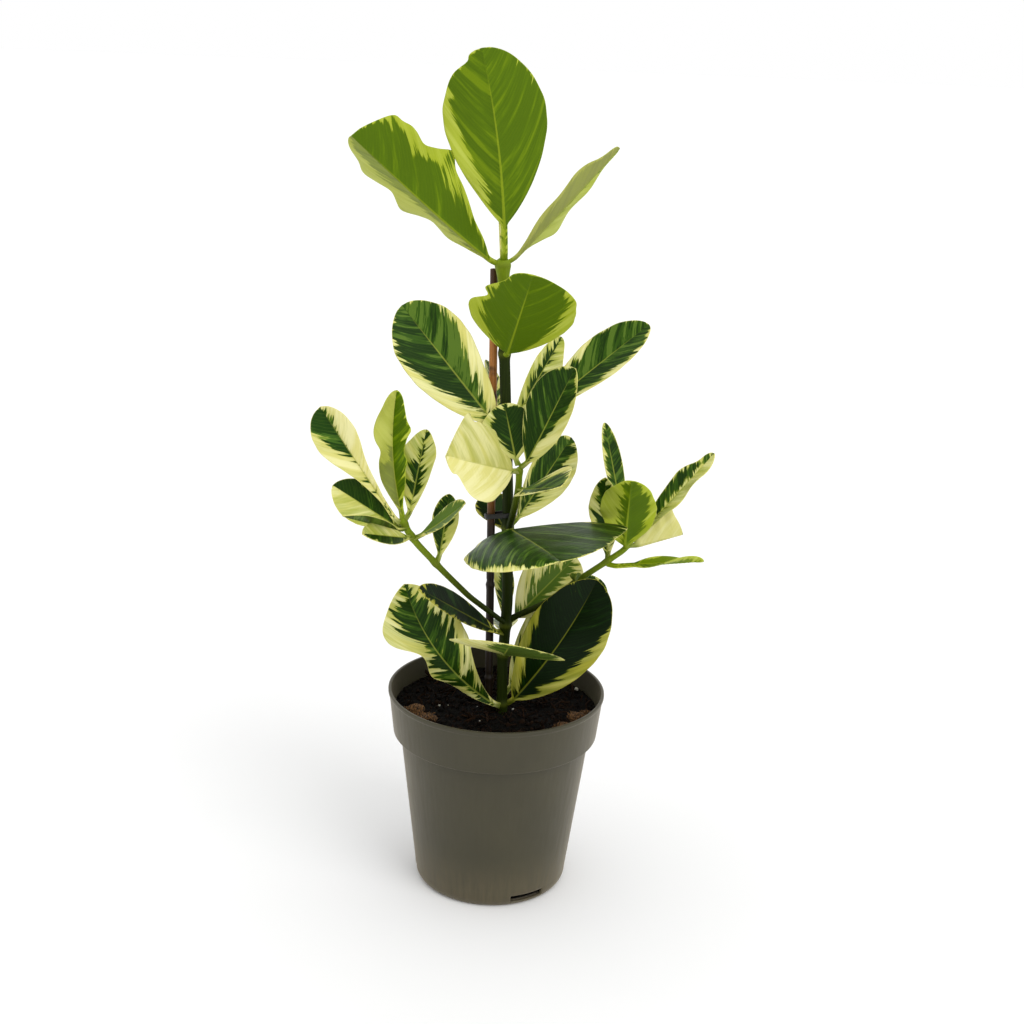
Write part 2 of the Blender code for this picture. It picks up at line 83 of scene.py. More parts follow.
def add(tree, kind, *values, give=None, **named):
    """Add a node with its mode, values and links; gives the output named, or else the first open one."""
    kind, _, mode = kind.partition(".")
    node = tree.nodes.new("ShaderNode" + kind)
    if mode:
        setattr(node, MODES[kind], mode)
    fill(node, *values, **named)
    return node.outputs[give] if give else next(socket for socket in node.outputs if socket.enabled)


def new_finish(name, colour, **constants):
    """A material with one Principled shader, whose constants are set on its own sockets."""
    made = bpy.data.materials.new(name)
    made.use_nodes = True
    shader = made.node_tree.nodes["Principled BSDF"]
    fill(shader, Base_Color=linear(colour), **constants)
    return made, made.node_tree, shader


def grid_quads(rows, columns):
    """Corner indices of the quads between neighbouring rings of points, each ring closed on itself."""
    index = np.arange(rows * columns).reshape(rows, columns)
    after = np.roll(index, -1, axis=1)
    return np.stack([index[:-1], after[:-1], after[1:], index[1:]], -1)


def split(quads):
    """Two triangles for each quad."""
    quads = quads.reshape(-1, 4)
    return np.vstack([quads[:, [0, 1, 2]], quads[:, [0, 2, 3]]])


def lofted(rings):
    """Points and triangles of the closed solid through rings of points, with a fan over each end.

    The rings turn right-handed about the way they follow each other, so faces point outwards.
    """
    rows, around = rings.shape[:2]
    points = np.vstack([rings.reshape(-1, 3), rings[0].mean(0), rings[-1].mean(0)])
    here = np.arange(around)
    after = np.roll(here, -1)
    last = (rows - 1) * around
    centre = rows * around
    first_fan = np.stack([after, here, np.full(around, centre)], -1)
    last_fan = np.stack([last + here, last + after, np.full(around, centre + 1)], -1)
    return points, np.vstack([split(grid_quads(rows, around)), first_fan, last_fan])


def make_piece(name, points, faces, finish, nodes, fields=None):
    """A smooth mesh from points in millimetres, riding on the root and standing for CAD nodes.

    Each field is a value or a vector for each point, which the material reads by its name.
    """
    mesh = bpy.data.meshes.new(name)
    mesh.vertices.add(len(points))
    mesh.vertices.foreach_set("co", (points * MM).astype(np.float32).ravel())
    mesh.loops.add(faces.size)
    mesh.loops.foreach_set("vertex_index", faces.astype(np.int32).ravel())
    mesh.polygons.add(len(faces))
    mesh.polygons.foreach_set("loop_start", np.arange(0, faces.size, faces.shape[1], dtype=np.int32))
    mesh.update(calc_edges=True)
    mesh.shade_smooth()
    for field, values in (fields or {}).items():
        kind, key = ("FLOAT", "value") if values.ndim == 1 else ("FLOAT_VECTOR", "vector")
        layer = mesh.attributes.new(field, kind, "POINT")
        layer.data.foreach_set(key, values.astype(np.float32).ravel())
    mesh.materials.append(finish)
    piece = bpy.data.objects.new(name, mesh)
    bpy.context.scene.collection.objects.link(piece)
    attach(piece, "root")
    if nodes:
        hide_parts(*nodes)
    return piece


def rounded(corners, steps=5):
    """A polyline of (radius, height, rounding) with each corner cut by a parabola tangent to its sides."""
    corners = np.array(corners, float)
    places = corners[:, :2]
    share = np.linspace(0, 1, steps)[:, None]
    pieces = [places[:1]]
    for before, corner, after, cut in zip(places, places[1:], places[2:], corners[1:-1, 2]):
        if cut == 0:
            pieces.append(corner[None])
            continue
        start = corner + (before - corner) / np.linalg.norm(before - corner) * cut
        end = corner + (after - corner) / np.linalg.norm(after - corner) * cut
        pieces.append(start * (1 - share) ** 2 + 2 * corner * share * (1 - share) + end * share**2)
    pieces.append(places[-1:])
    return np.vstack(pieces)


def foot_radius(height):
    """Outer radius low on the pot: a quarter ellipse up to 9 mm, then the straight wall."""
    curve = 55 + 5.8 * np.sqrt(1 - (1 - np.clip(height / 9, 0, 1)) ** 2)
    return np.where(height < 9, curve, 60.8 + (height - 9) * 0.1243)


def inner_radius(height):
    """Inner radius low in the pot: a bevel up from the floor, then the wall."""
    return np.where(height < 9, 56.3 + (height - 3) * 0.5, 59.3 + (height - 9) * 0.1235)


underside = rounded([(1, 0, 0), (18, 0, 0.5), (19, 1.5, 0.5), (45, 1.5, 0.5), (46, 0, 0.5), (55, 0, 0)])
foot_heights = np.array([0.15, 0.5, 1.1, 1.9, 2.8])
foot = np.stack([foot_radius(foot_heights), foot_heights], -1)
slot_outside = np.stack([foot_radius(SLOT_HEIGHTS), SLOT_HEIGHTS], -1)
outside = rounded([
    (60.95, 11, 0), (74.9, 124.8, 0.9), (80.4, 125.4, 0.9), (84.1, 157.4, 1.0), (85, 158.4, 0.5),
    (85, 161, 0.9), (82.7, 161, 0.7), (79.0, 130.4, 2.5), (73.4, 125.6, 2.5), (59.5, 11, 0),
])
slot_inside = np.stack([inner_radius(SLOT_HEIGHTS), SLOT_HEIGHTS], -1)[::-1]
floor = np.array([(56.3, 3), (40, 3), (20, 3), (1, 3)])
wall = np.vstack([underside, foot, slot_outside, outside, slot_inside, floor])
outer_row = len(underside) + len(foot)
inner_row = outer_row + len(slot_outside) + len(outside)

turn = np.radians(np.arange(POT_COLUMNS) * 360 / POT_COLUMNS)
pot_rings = np.stack([
    wall[:, :1] * np.cos(turn),
    wall[:, :1] * np.sin(turn),
    wall[:, 1:] * np.ones(POT_COLUMNS),
], -1)


def edge_of(block):
    """The indices round the edge of a rectangular block of grid points."""
    return np.concatenate([block[0, :-1], block[:-1, -1], block[-1, :0:-1], block[:0:-1, 0]])


def slotted(rings):
    """The pot's surface with its slots: each is left out of both walls, and jambs join them."""
    rows, columns = rings.shape[:2]
    index = np.arange(rows * columns).reshape(rows, columns)
    quads = grid_quads(rows, columns)
    kept = np.ones(quads.shape[:2], bool)
    jambs = []
    deep = len(SLOT_HEIGHTS)
    for azimuth in SLOT_AZIMUTHS:
        middle = round(azimuth * columns / 360)
        across = np.arange(middle - SLOT_HALF_COLUMNS, middle + SLOT_HALF_COLUMNS + 1) % columns
        for row in (outer_row, inner_row):
            kept[np.ix_(range(row, row + deep - 1), across[:-1])] = False
        outer = edge_of(index[outer_row : outer_row + deep][:, across])
        inner = edge_of(index[inner_row : inner_row + deep][::-1][:, across])
        jambs.append(np.stack([outer, np.roll(outer, -1), np.roll(inner, -1), inner], -1))
    points, faces = lofted(rings)
    fans = faces[-2 * columns :]
    return points, np.vstack([split(quads[kept]), split(np.vstack(jambs)), fans])


plastic, tree, shader = new_finish(
    "moulded_polypropylene", "#3a372c", IOR=1.49, Sheen_Weight=0.3, Sheen_Roughness=0.4,
    Sheen_Tint=linear("#e6d8be")
)
place = add(tree, "TexCoord", give="Object")
height = add(tree, "SeparateXYZ", place, give="Z")
# Draw marks run up the wall about 3 mm apart; the noise is stretched 25 times along Z.
marks = add(tree, "VectorMath.MULTIPLY", place, (330, 330, 13))
draw = add(tree, "TexNoise", marks, Scale=1.0, Detail=3.0)
bloom = add(tree, "TexNoise", place, Scale=22.0, Detail=4.0)
grain = add(tree, "TexNoise", place, Scale=900.0, Detail=2.0)
tone = add(tree, "Mix.RGBA", bloom, linear("#33301f"), linear("#45412c"))
low = add(tree, "MapRange.SMOOTHSTEP", height, 0.05, 0.0, 0.0, 0.6)
dust = add(tree, "Math.MULTIPLY", low, draw)
dusty = add(tree, "Mix.RGBA", dust, tone, linear("#75694f"))
rough = add(tree, "MapRange", draw, 0.3, 0.7, 0.42, 0.52)
relief = add(tree, "Math.ADD", grain, draw)
skin = add(tree, "Bump", Strength=0.12, Distance=0.0004, Height=relief)
fill(shader, Base_Color=dusty, Roughness=rough, Normal=skin)

pot_points, pot_faces = slotted(pot_rings)
make_piece("nursery_pot", pot_points, pot_faces, plastic, ["pot"])

# ======================================================================== potting soil
# Damp milled peat with a little bark and a few grains of perlite: near-black crumbs of 1 to
# 4 mm, matted with brown fibres, filled to 19 mm below the rim and pressed against the wall.

SOIL_LEVEL = 142.0
SOIL_COLUMNS = 240
SOIL_RINGS = 90
CRUMBS = 1500
FIBRES = 260
dice = np.random.default_rng(7)


def cloud(points, size, seed=0):
    """A smooth random field from -1 to 1: hashed values at the corners of cubes, blended inside."""
    cell = np.asarray(points, float) / size
    corner = np.floor(cell).astype(np.int64)
    weight = cell - corner
    weight = weight**2 * (3 - 2 * weight)
    total = 0
    for step in np.ndindex(2, 2, 2):
        key = (corner + step) @ np.array([73856093, 19349663, 83492791]) + seed * 9781
        value = np.modf(np.abs(np.sin(key % 104729 * 12.9898)) * 43758.5453)[0]
        total = total + value * np.where(step, weight, 1 - weight).prod(-1)
    return 2 * total - 1


def soil_height(x, y):
    """The soil's top: three crossing low waves, heaped a little against the wall."""
    mounds = np.sin(x / 9 + 1.3) * np.cos(y / 11)
    ripples = 0.6 * np.sin((x + y) / 6.1)
    slope = 0.4 * np.cos((x - 2 * y) / 14)
    return SOIL_LEVEL + 0.8 * (mounds + ripples + slope) + 2.2 * (np.hypot(x, y) / 80) ** 6


soil_turn = np.radians(np.arange(SOIL_COLUMNS) * 360 / SOIL_COLUMNS)
side_heights = np.array([3.3, 3.5, 6, 10, 20, 60, 122.8, 127.9, 135, 139])
side_radii = np.interp(side_heights, [3.5, 10, 122.8, 127.9, 139], [54.6, 58.6, 72.6, 78.1, 79.4])
side_radii[0] = 1
top_radii = np.linspace(79.6, 0.6, SOIL_RINGS)
soil_radii = np.concatenate([side_radii, top_radii])[:, None]
soil_x = soil_radii * np.cos(soil_turn)
soil_y = soil_radii * np.sin(soil_turn)
soil_z = np.concatenate([side_heights, np.zeros(SOIL_RINGS)])[:, None] + 0 * soil_x
level = np.stack([soil_x, soil_y, 0 * soil_x], -1)
crumbled = 0.9 * cloud(level, 5.0, 1) + 1.0 * np.abs(cloud(level, 2.1, 2)) + 0.5 * cloud(level, 0.9, 3)
soil_z[-SOIL_RINGS:] = (soil_height(soil_x, soil_y) + crumbled)[-SOIL_RINGS:]
soil_points, soil_faces = lofted(np.stack([soil_x, soil_y, soil_z], -1))

peat, tree, shader = new_finish("damp_peat", "#0d0a07", Roughness=0.93, IOR=1.35, Specular_IOR_Level=0.25)
place = add(tree, "TexCoord", give="Object")
crumb_tone = add(tree, "TexNoise", place, Scale=420.0, Detail=5.0, Roughness=0.7)
patch_tone = add(tree, "TexNoise", place, Scale=60.0, Detail=3.0)
brown = add(tree, "MapRange.SMOOTHSTEP", crumb_tone, 0.48, 0.72)
warm = add(tree, "Math.MULTIPLY", brown, patch_tone)
earth = add(tree, "Mix.RGBA", warm, linear("#090705"), linear("#1f150c"))
lumps = add(tree, "Bump", Strength=0.6, Distance=0.0008, Height=crumb_tone)
fill(shader, Base_Color=earth, Normal=lumps)
make_piece("peat", soil_points, soil_faces, peat, ["soil"])


def spin(count):
    """Random turns, one 3 by 3 matrix each, from random unit quaternions."""
    w, x, y, z = (q := dice.normal(size=(4, count))) / np.linalg.norm(q, axis=0)
    rows = [
        [1 - 2 * (y * y + z * z), 2 * (x * y - w * z), 2 * (x * z + w * y)],
        [2 * (x * y + w * z), 1 - 2 * (x * x + z * z), 2 * (y * z - w * x)],
        [2 * (x * z - w * y), 2 * (y * z + w * x), 1 - 2 * (x * x + y * y)],
    ]
    return np.moveaxis(np.array(rows), -1, 0)


def scattered(shape, faces, places, sizes, tones):
    """Copies of a small shape, each stretched by its three sizes, turned at random and set in its place."""
    copies = (shape * sizes[:, None, :]) @ spin(len(places)) + places[:, None, :]
    shifts = np.arange(len(places))[:, None, None] * len(shape)
    return copies.reshape(-1, 3), (faces + shifts).reshape(-1, 3), np.repeat(tones, len(shape))


def ball(rings, around):
    """A unit ball as rings of latitude."""
    polar = np.linspace(np.pi, 0, rings + 2)[1:-1, None]
    turns = np.linspace(0, 2 * np.pi, around, endpoint=False)
    return lofted(np.stack([
        np.sin(polar) * np.cos(turns),
        np.sin(polar) * np.sin(turns),
        np.cos(polar) * np.ones(around),
    ], -1))


def on_soil(count, reach, lift):
    """Random places on the soil, evenly spread over a disc of this reach."""
    radius = reach * np.sqrt(dice.random(count))
    angle = dice.random(count) * 2 * np.pi
    x = radius * np.cos(angle)
    y = radius * np.sin(angle)
    return np.stack([x, y, soil_height(x, y) + lift], -1)


crumb_sizes = np.exp(dice.normal(-0.1, 0.45, CRUMBS))[:, None] * dice.uniform(0.6, 1.2, (CRUMBS, 3))
crumb_tones = np.where(dice.random(CRUMBS) < 0.015, 1.0, dice.random(CRUMBS) * 0.5)
crumb_points, crumb_faces, crumb_tone = scattered(
    *ball(3, 6), on_soil(CRUMBS, 78, 0.9), crumb_sizes, crumb_tones
)
crumb_points += 0.35 * cloud(crumb_points, 1.1, 5)[:, None]
crumb_skin, tree, shader = new_finish(
    "peat_crumbs", "#120d08", Roughness=0.9, IOR=1.35, Specular_IOR_Level=0.25,
)
tone = add(tree, "Attribute.tone", give="Fac")
place = add(tree, "TexCoord", give="Object")
speckle = add(tree, "TexNoise", place, Scale=700.0, Detail=3.0)
shade = add(tree, "Math.MULTIPLY", tone, speckle)
dark_crumb = add(tree, "Mix.RGBA", shade, linear("#0a0705"), linear("#4a2f1a"))
perlite = add(tree, "Math.GREATER_THAN", tone, 0.9)
crumb = add(tree, "Mix.RGBA", perlite, dark_crumb, linear("#b9b6ad"))
fill(shader, Base_Color=crumb)
make_piece("peat_crumbs", crumb_points, crumb_faces, crumb_skin, [], {"tone": crumb_tone})


def tube(path, radii, around):
    """Rings of points round a path: the radius may change along it, and no path here runs along Y."""
    way = np.gradient(path, axis=0)
    way /= np.linalg.norm(way, axis=1, keepdims=True)
    across = np.cross(way, [0.0, 1.0, 0.0])
    across /= np.linalg.norm(across, axis=1, keepdims=True)
    up = np.cross(way, across)
    turns = np.linspace(0, 2 * np.pi, around, endpoint=False)
    circle = across[:, None] * np.cos(turns)[:, None] + up[:, None] * np.sin(turns)[:, None]
    return path[:, None] + circle * np.broadcast_to(radii, (len(path), around))[..., None]


# One bent fibre, 2 units long and 1 unit thick, is scattered with its own length and thickness.
bend = np.linspace(-1, 1, 6)
fibre_path = np.stack([bend, 0 * bend, 0.3 * np.cos(bend * 2.2)], -1)
fibre, fibre_faces = lofted(tube(fibre_path, 0.5, 3))
fibre_lengths = dice.uniform(2.5, 7, FIBRES)
fibre_sizes = np.stack([fibre_lengths, np.full(FIBRES, 0.25), fibre_lengths * 0.4], -1)
fibre_points, fibre_faces, fibre_tone = scattered(
    fibre, fibre_faces, on_soil(FIBRES, 76, 1.6), fibre_sizes, dice.uniform(0.2, 0.8, FIBRES)
)
fibre_points[:, 2] = np.maximum(fibre_points[:, 2], SOIL_LEVEL - 2)
make_piece("peat_fibres", fibre_points, fibre_faces, crumb_skin, [], {"tone": fibre_tone})

# ======================================================================== bark and coir clods
# Seven lumps of torn pine bark and coir on the soil: dry, light reddish brown, matted from
# fibres 0.3 mm thick. The fibre noise darkens and lightens the colour: partly the bark's own
# varied tone, partly painted shade in the gaps between fibres and painted highlights on them.

CLOD_SWELL = 1.35  # loose matted fibre stands out past the solid lump

coir, tree, shader = new_finish("torn_bark", "#5f3d23", Roughness=0.88, IOR=1.4)
place = add(tree, "TexCoord", give="Object")
# Fibres lie along Y, so the noise is drawn out 4 times that way.
lay = add(tree, "VectorMath.MULTIPLY", place, (1100, 280, 800))
fibrous = add(tree, "TexNoise", lay, Scale=1.0, Detail=5.0, Roughness=0.7)
# Dark streaks are painted shade in the gaps between fibres and light streaks painted highlights on them, over
# the bark's own varied tone.
painted_fibre_light = add(tree, "MapRange", fibrous, 0.42, 0.68)
bark_tone_and_painted_light = add(tree, "Mix.RGBA", painted_fibre_light, linear("#20150b"), linear("#966c40"))
torn = add(tree, "Bump", Strength=0.8, Distance=0.001, Height=fibrous)
fill(shader, Base_Color=bark_tone_and_painted_light, Normal=torn)


def clod(node, seed):
    """A torn lump in its CAD node's box: a ball roughened by noise at three sizes, with loose fibres."""
    low, high = (np.array(corner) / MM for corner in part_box(node))
    centre = (low + high) / 2
    half = (high - low) / 2 * CLOD_SWELL
    unit, faces = ball(30, 44)
    rough = 1 + 0.22 * cloud(unit, 0.5, seed) + 0.16 * cloud(unit, 0.22, seed + 1)
    rough += 0.08 * cloud(unit, 0.1, seed + 2)
    points = centre + unit * rough[:, None] * half
    loose = 26
    around = ball(1, loose)[0][:loose] * dice.uniform(0.6, 1.0, (loose, 3))
    places = centre + around * half + [0, 0, 0.5]
    sizes = np.stack([dice.uniform(1.5, 3.2, loose), np.full(loose, 0.4), dice.uniform(0.8, 1.5, loose)], -1)
    threads, thread_faces, _ = scattered(*lofted(tube(fibre_path, 0.5, 3)), places, sizes, np.zeros(loose))
    return np.vstack([points, threads]), np.vstack([faces, thread_faces + len(points)])


chips = sorted(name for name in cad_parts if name.startswith("bark_chip"))
for seed, chip in enumerate(chips):
    chip_points, chip_faces = clod(chip, 10 * seed)
    make_piece("clod" + chip.removeprefix("bark_chip"), chip_points, chip_faces, coir, [chip])

# ======================================================================== stems
# Living clusia wood: one upright stem and three side shoots, dark olive low down where a thin
# corky skin has formed and light green where it is young, with a swollen joint at each leaf pair.

# Centre lines in millimetres from foot to tip, and the radius at each end.
SHOOTS = {
    "main_stem": (
        [(5, -5, 142), (4, -5, 186), (6, -5, 236), (5, -5, 270), (3, -5, 325), (-1, -5, 394),
         (-3, -5, 424), (-6, -5, 485), (-7, -5, 500)],
        (4.2, 3.6),
        (8, 50, 74, 153, 229, 287, 352),
    ),
    "front_shoot": (
        [(6, -13, 301), (9, -18, 317), (11, -22, 331), (11, -24, 344), (11, -24, 349)],
        (2.6, 2.4),
        (46,),
    ),
    "left_shoot": (
        [(-1, -12, 224), (-23, -27, 246), (-43, -39, 270), (-63, -47, 294), (-71, -50, 307),
         (-73, -51, 314)],
        (2.0, 2.6),
        (77, 106, 118),
    ),
    "right_shoot": (
        [(12, -3, 222), (35, -6, 235), (63, -12, 260), (78, -14, 272), (95, -16, 286), (98, -15, 295)],
        (2.4, 2.2),
        (58, 87, 110),
    ),
}
# Where each side shoot leaves the main stem: the start of its centre line is drawn back to here.
SHOOT_FEET = {"front_shoot": (4, -5, 292), "left_shoot": (6, -6, 217), "right_shoot": (5, -4, 218)}


def along(points):
    """Distance along a polyline at each of its points."""
    return np.concatenate([[0], np.cumsum(np.linalg.norm(np.diff(points, axis=0), axis=1))])


def shoot_at(shoot, distance):
    """Point, direction and radius of a shoot this far along its centre line."""
    points, radii, _ = SHOOTS[shoot]
    points = np.array(points, float)
    lengths = along(points)
    spots = np.clip([distance, distance - 3, distance + 3], 0, lengths[-1])
    here, behind, ahead = (np.array([np.interp(spot, lengths, axis) for axis in points.T]) for spot in spots)
    way = (ahead - behind) / np.linalg.norm(ahead - behind)
    return here, way, np.interp(distance / lengths[-1], [0, 1], radii)


def smooth_path(points, spacing, window):
    """The polyline at an even spacing, each point then the mean of those within the window, ends kept."""
    points = np.array(points, float)
    lengths = along(points)
    spots = np.arange(0, lengths[-1], spacing)
    path = np.stack([np.interp(spots, lengths, axis) for axis in points.T], -1)
    reach = int(window / spacing / 2)
    path_pad = np.vstack([
        2 * path[0] - path[reach:0:-1],
        path,
        2 * path[-1] - path[-2 : -2 - reach : -1],
    ])
    kernel = np.ones(2 * reach + 1) / (2 * reach + 1)
    return np.stack([np.convolve(axis, kernel, "valid") for axis in path_pad.T], -1)


def stem_rings(shoot):
    """A tapered tube with a swelling at each joint, a fine lengthwise wrinkle and a rounded tip."""
    points, radii, joints = SHOOTS[shoot]
    drawn_back = [SHOOT_FEET[shoot]] if shoot in SHOOT_FEET else [(5, -5, 122)]
    extra = np.linalg.norm(np.subtract(points[0], drawn_back[0]))
    path = smooth_path(drawn_back + points, 0.8, 14)
    spots = along(path) - extra
    full = spots[-1]
    radius = np.interp(spots / full, [0, 1], radii)
    for joint in joints:
        radius = radius * (1 + 0.22 * np.exp(-(((spots - joint) / 3.2) ** 2)))
    if shoot == "main_stem":
        # Three young leaves clasp the top joint, which is broad and soft.
        radius = radius * (1 + 0.3 * np.exp(-(((spots - 349) / 7) ** 2)) + 0.1 * spots / full)
    radius = radius * np.sqrt(np.clip((full - spots) / 2.5 + 0.02, 0, 1))
    turns = np.linspace(0, 2 * np.pi, 32, endpoint=False)
    wrinkle = 0.018 * np.sin(turns * 7 + 1.5 * np.sin(spots / 17)[:, None])
    rings = tube(path, radius[:, None] * (1 + wrinkle), 32)
    return rings, np.repeat(spots[:, None] / full, 32, 1), np.repeat(
        sum(np.exp(-(((spots - joint) / 2.2) ** 2)) for joint in joints)[:, None], 32, 1
    )


def with_ends(field):
    """A field on rings as one value for each point of the lofted solid, its two end points included."""
    return np.concatenate([field.reshape(-1), [field[0].mean()], [field[-1].mean()]])


wood, tree, shader = new_finish("green_wood", "#2a380a", Roughness=0.5, Specular_IOR_Level=0.12)
place = add(tree, "TexCoord", give="Object")
youth = add(tree, "Attribute.youth", give="Fac")
joint = add(tree, "Attribute.joint", give="Fac")
long_way = add(tree, "VectorMath.MULTIPLY", place, (900, 900, 45))
corky = add(tree, "TexNoise", long_way, Scale=1.0, Detail=4.0)
old = add(tree, "Mix.RGBA", corky, linear("#111b02"), linear("#2f3d06"))
new = add(tree, "Mix.RGBA", corky, linear("#6c8410"), linear("#93a52c"))
raised = add(tree, "MapRange.SMOOTHSTEP", youth, 0.82, 1.0)
green = add(tree, "Mix.RGBA", raised, old, new)
scar = add(tree, "Math.MULTIPLY", joint, 0.45)
ringed = add(tree, "Mix.RGBA", scar, green, linear("#667022"))
bark_relief = add(tree, "Bump", Strength=0.25, Distance=0.0004, Height=corky)
fill(shader, Base_Color=ringed, Normal=bark_relief)

for shoot in SHOOTS:
    rings, age, joints = stem_rings(shoot)
    if shoot != "main_stem":
        age = 0.83 + 0.14 * age
    stem_points, stem_faces = lofted(rings)
    fields = {"youth": with_ends(age), "joint": with_ends(joints)}
    make_piece("living_" + shoot, stem_points, stem_faces, wood, [shoot], fields)

# ======================================================================== cane
# A split-free bamboo cane 6.4 mm thick, pushed 100 mm into the soil: tan skin with fine
# lengthwise fibres, a ridge and a dark stain at each joint. From 335 mm down it turns dark brown,
# partly its own colour and partly painted shade among the lower leaves; painted shade also darkens
# its top among the top leaves and the inside of its hollow.

CANE_FOOT = np.array([-3.4, -5.0, 42.0])
CANE_TOP = np.array([-12.8, 4.0, 489.0])
CANE_RADIUS = 3.2
CANE_JOINTS = (96, 170, 247, 322, 394, 458)

cane_heights = np.concatenate([np.arange(CANE_FOOT[2], CANE_TOP[2], 1.2), [CANE_TOP[2]]])
cane_share = (cane_heights - CANE_FOOT[2]) / (CANE_TOP[2] - CANE_FOOT[2])
cane_path = CANE_FOOT + cane_share[:, None] * (CANE_TOP - CANE_FOOT)
cane_radii = np.full(len(cane_path), CANE_RADIUS - 0.15)
cane_stain_and_bore_shade = np.zeros(len(cane_path))
for cane_joint in CANE_JOINTS:
    off = cane_heights - cane_joint
    cane_radii += 0.5 * np.exp(-((off / 2.2) ** 2)) - 0.35 * np.exp(-(((off - 3.0) / 1.4) ** 2))
    cane_stain_and_bore_shade += np.exp(-(((off - 1.5) / 3.5) ** 2))
# The sawn top: the wall is 1 mm thick round a hollow 12 mm deep.
bore_radii = CANE_RADIUS - np.array([0.5, 1.3, 1.5, 1.6])
bore_rise = np.array([0.3, 0.2, -1.0, -12.0])
cane_direction = (CANE_TOP - CANE_FOOT) / np.linalg.norm(CANE_TOP - CANE_FOOT)
outer_rings = tube(cane_path, cane_radii[:, None], 28)
top_circle = (outer_rings[-1] - CANE_TOP) / cane_radii[-1]
bore_rings = CANE_TOP + bore_rise[:, None, None] * cane_direction + bore_radii[:, None, None] * top_circle
cane_points, cane_faces = lofted(np.concatenate([outer_rings, bore_rings]))
# The joint stains fill this field, and the two rings inside the hollow take it in full as painted shade in
# the bore.
cane_stain_and_bore_shade = with_ends(np.repeat(np.concatenate([cane_stain_and_bore_shade, [0, 0, 1, 1]])[:, None], 28, 1))

bamboo, tree, shader = new_finish("bamboo_cane", "#7a5226", Roughness=0.45, IOR=1.42)
place = add(tree, "TexCoord", give="Object")
height = add(tree, "SeparateXYZ", place, give="Z")
mark = add(tree, "Attribute.mark", give="Fac")
long_way = add(tree, "VectorMath.MULTIPLY", place, (1500, 1500, 30))
strand = add(tree, "TexNoise", long_way, Scale=1.0, Detail=4.0)
stain = add(tree, "TexNoise", place, Scale=38.0, Detail=4.0, Roughness=0.6)
skin_tone = add(tree, "Mix.RGBA", strand, linear("#80501c"), linear("#c48442"))
# Dark brown from 335 mm down: partly the cane's own colour, partly painted shade among the lower leaves.
low_brown_and_shade = add(tree, "MapRange.SMOOTHSTEP", height, 0.335, 0.29)
skin_low_brown_and_shade = add(tree, "Mix.RGBA", low_brown_and_shade, skin_tone, linear("#1d1005"))
patchy = add(tree, "MapRange.SMOOTHSTEP", stain, 0.56, 0.7)
stain_and_shade = add(tree, "Math.MAXIMUM", patchy, mark)
# Painted shade darkens the top, where the top leaves close round the cane.
painted_top_shade = add(tree, "MapRange.SMOOTHSTEP", height, 0.44, 0.475)
stain_and_shade = add(tree, "Math.MAXIMUM", stain_and_shade, painted_top_shade)
stain_and_shade_share = add(tree, "Math.MULTIPLY", stain_and_shade, 0.85)
stained_and_shaded = add(tree, "Mix.RGBA", stain_and_shade_share, skin_low_brown_and_shade, linear("#1c0f05"))
strand_relief = add(tree, "Bump", Strength=0.2, Distance=0.0003, Height=strand)
fill(shader, Base_Color=stained_and_shaded, Normal=strand_relief)
make_piece("bamboo_cane", cane_points, cane_faces, bamboo, ["stake"], {"mark": cane_stain_and_bore_shade})

# ======================================================================== plant tie
# A soft black PVC strap 3.6 mm wide and 1.2 mm thick, looped round the cane and the stem and
# pinched between them; it hangs a little lower on the cane's side.

TIE_HEIGHT = 304.0
TIE_TILT = 12.0
TIE_WIDTH = 3.6
TIE_WALL = 1.2

tie_turn = np.radians(np.arange(96) * 360 / 96)
cane_at = CANE_FOOT + (TIE_HEIGHT - CANE_FOOT[2]) / (CANE_TOP[2] - CANE_FOOT[2]) * (CANE_TOP - CANE_FOOT)
stem_at, _, stem_radius = shoot_at("main_stem", TIE_HEIGHT - SOIL_LEVEL)
spread = np.hypot(*(stem_at - cane_at)[:2]) / 2
bearing = np.arctan2(*(stem_at - cane_at)[1::-1])
on_cane = -spread * np.cos(tie_turn) + CANE_RADIUS
on_stem = spread * np.cos(tie_turn) + stem_radius
centre_x = np.where(on_cane > on_stem, -spread, spread)
tie_reach = np.where(on_cane > on_stem, CANE_RADIUS, stem_radius) + 0.9
# The strap's section is a flat oval, carried round the loop.
oval = np.linspace(0, 2 * np.pi, 20, endpoint=False)
flat = np.sign(np.cos(oval)) * np.abs(np.cos(oval)) ** 0.45 * TIE_WALL / 2
tall = np.sign(np.sin(oval)) * np.abs(np.sin(oval)) ** 0.45 * TIE_WIDTH / 2
out_x = np.cos(tie_turn)[:, None]
out_y = np.sin(tie_turn)[:, None]
reach = (tie_reach + TIE_WALL / 2)[:, None] + flat
local_x = centre_x[:, None] + reach * out_x
local_y = reach * out_y
# Pinched waist: the strap dips towards the line between cane and stem at the middle of the loop.
waist = 1 - 0.35 * np.exp(-((local_x / (spread * 0.6)) ** 2))
local = np.stack([local_x, local_y * waist, tall * np.ones_like(local_x)], -1)
tilt = Matrix.Rotation(bearing, 3, "Z") @ Matrix.Rotation(math.radians(-TIE_TILT), 3, "Y")
tie_middle = (cane_at + stem_at) / 2
tie_rings = local @ np.array(tilt).T + [tie_middle[0], tie_middle[1], TIE_HEIGHT]
index = np.arange(tie_rings.shape[0] * 20).reshape(-1, 20)
index = np.vstack([index, index[:1]])
after = np.roll(index, -1, axis=1)
tie_faces = split(np.stack([index[:-1], index[1:], after[1:], after[:-1]], -1))

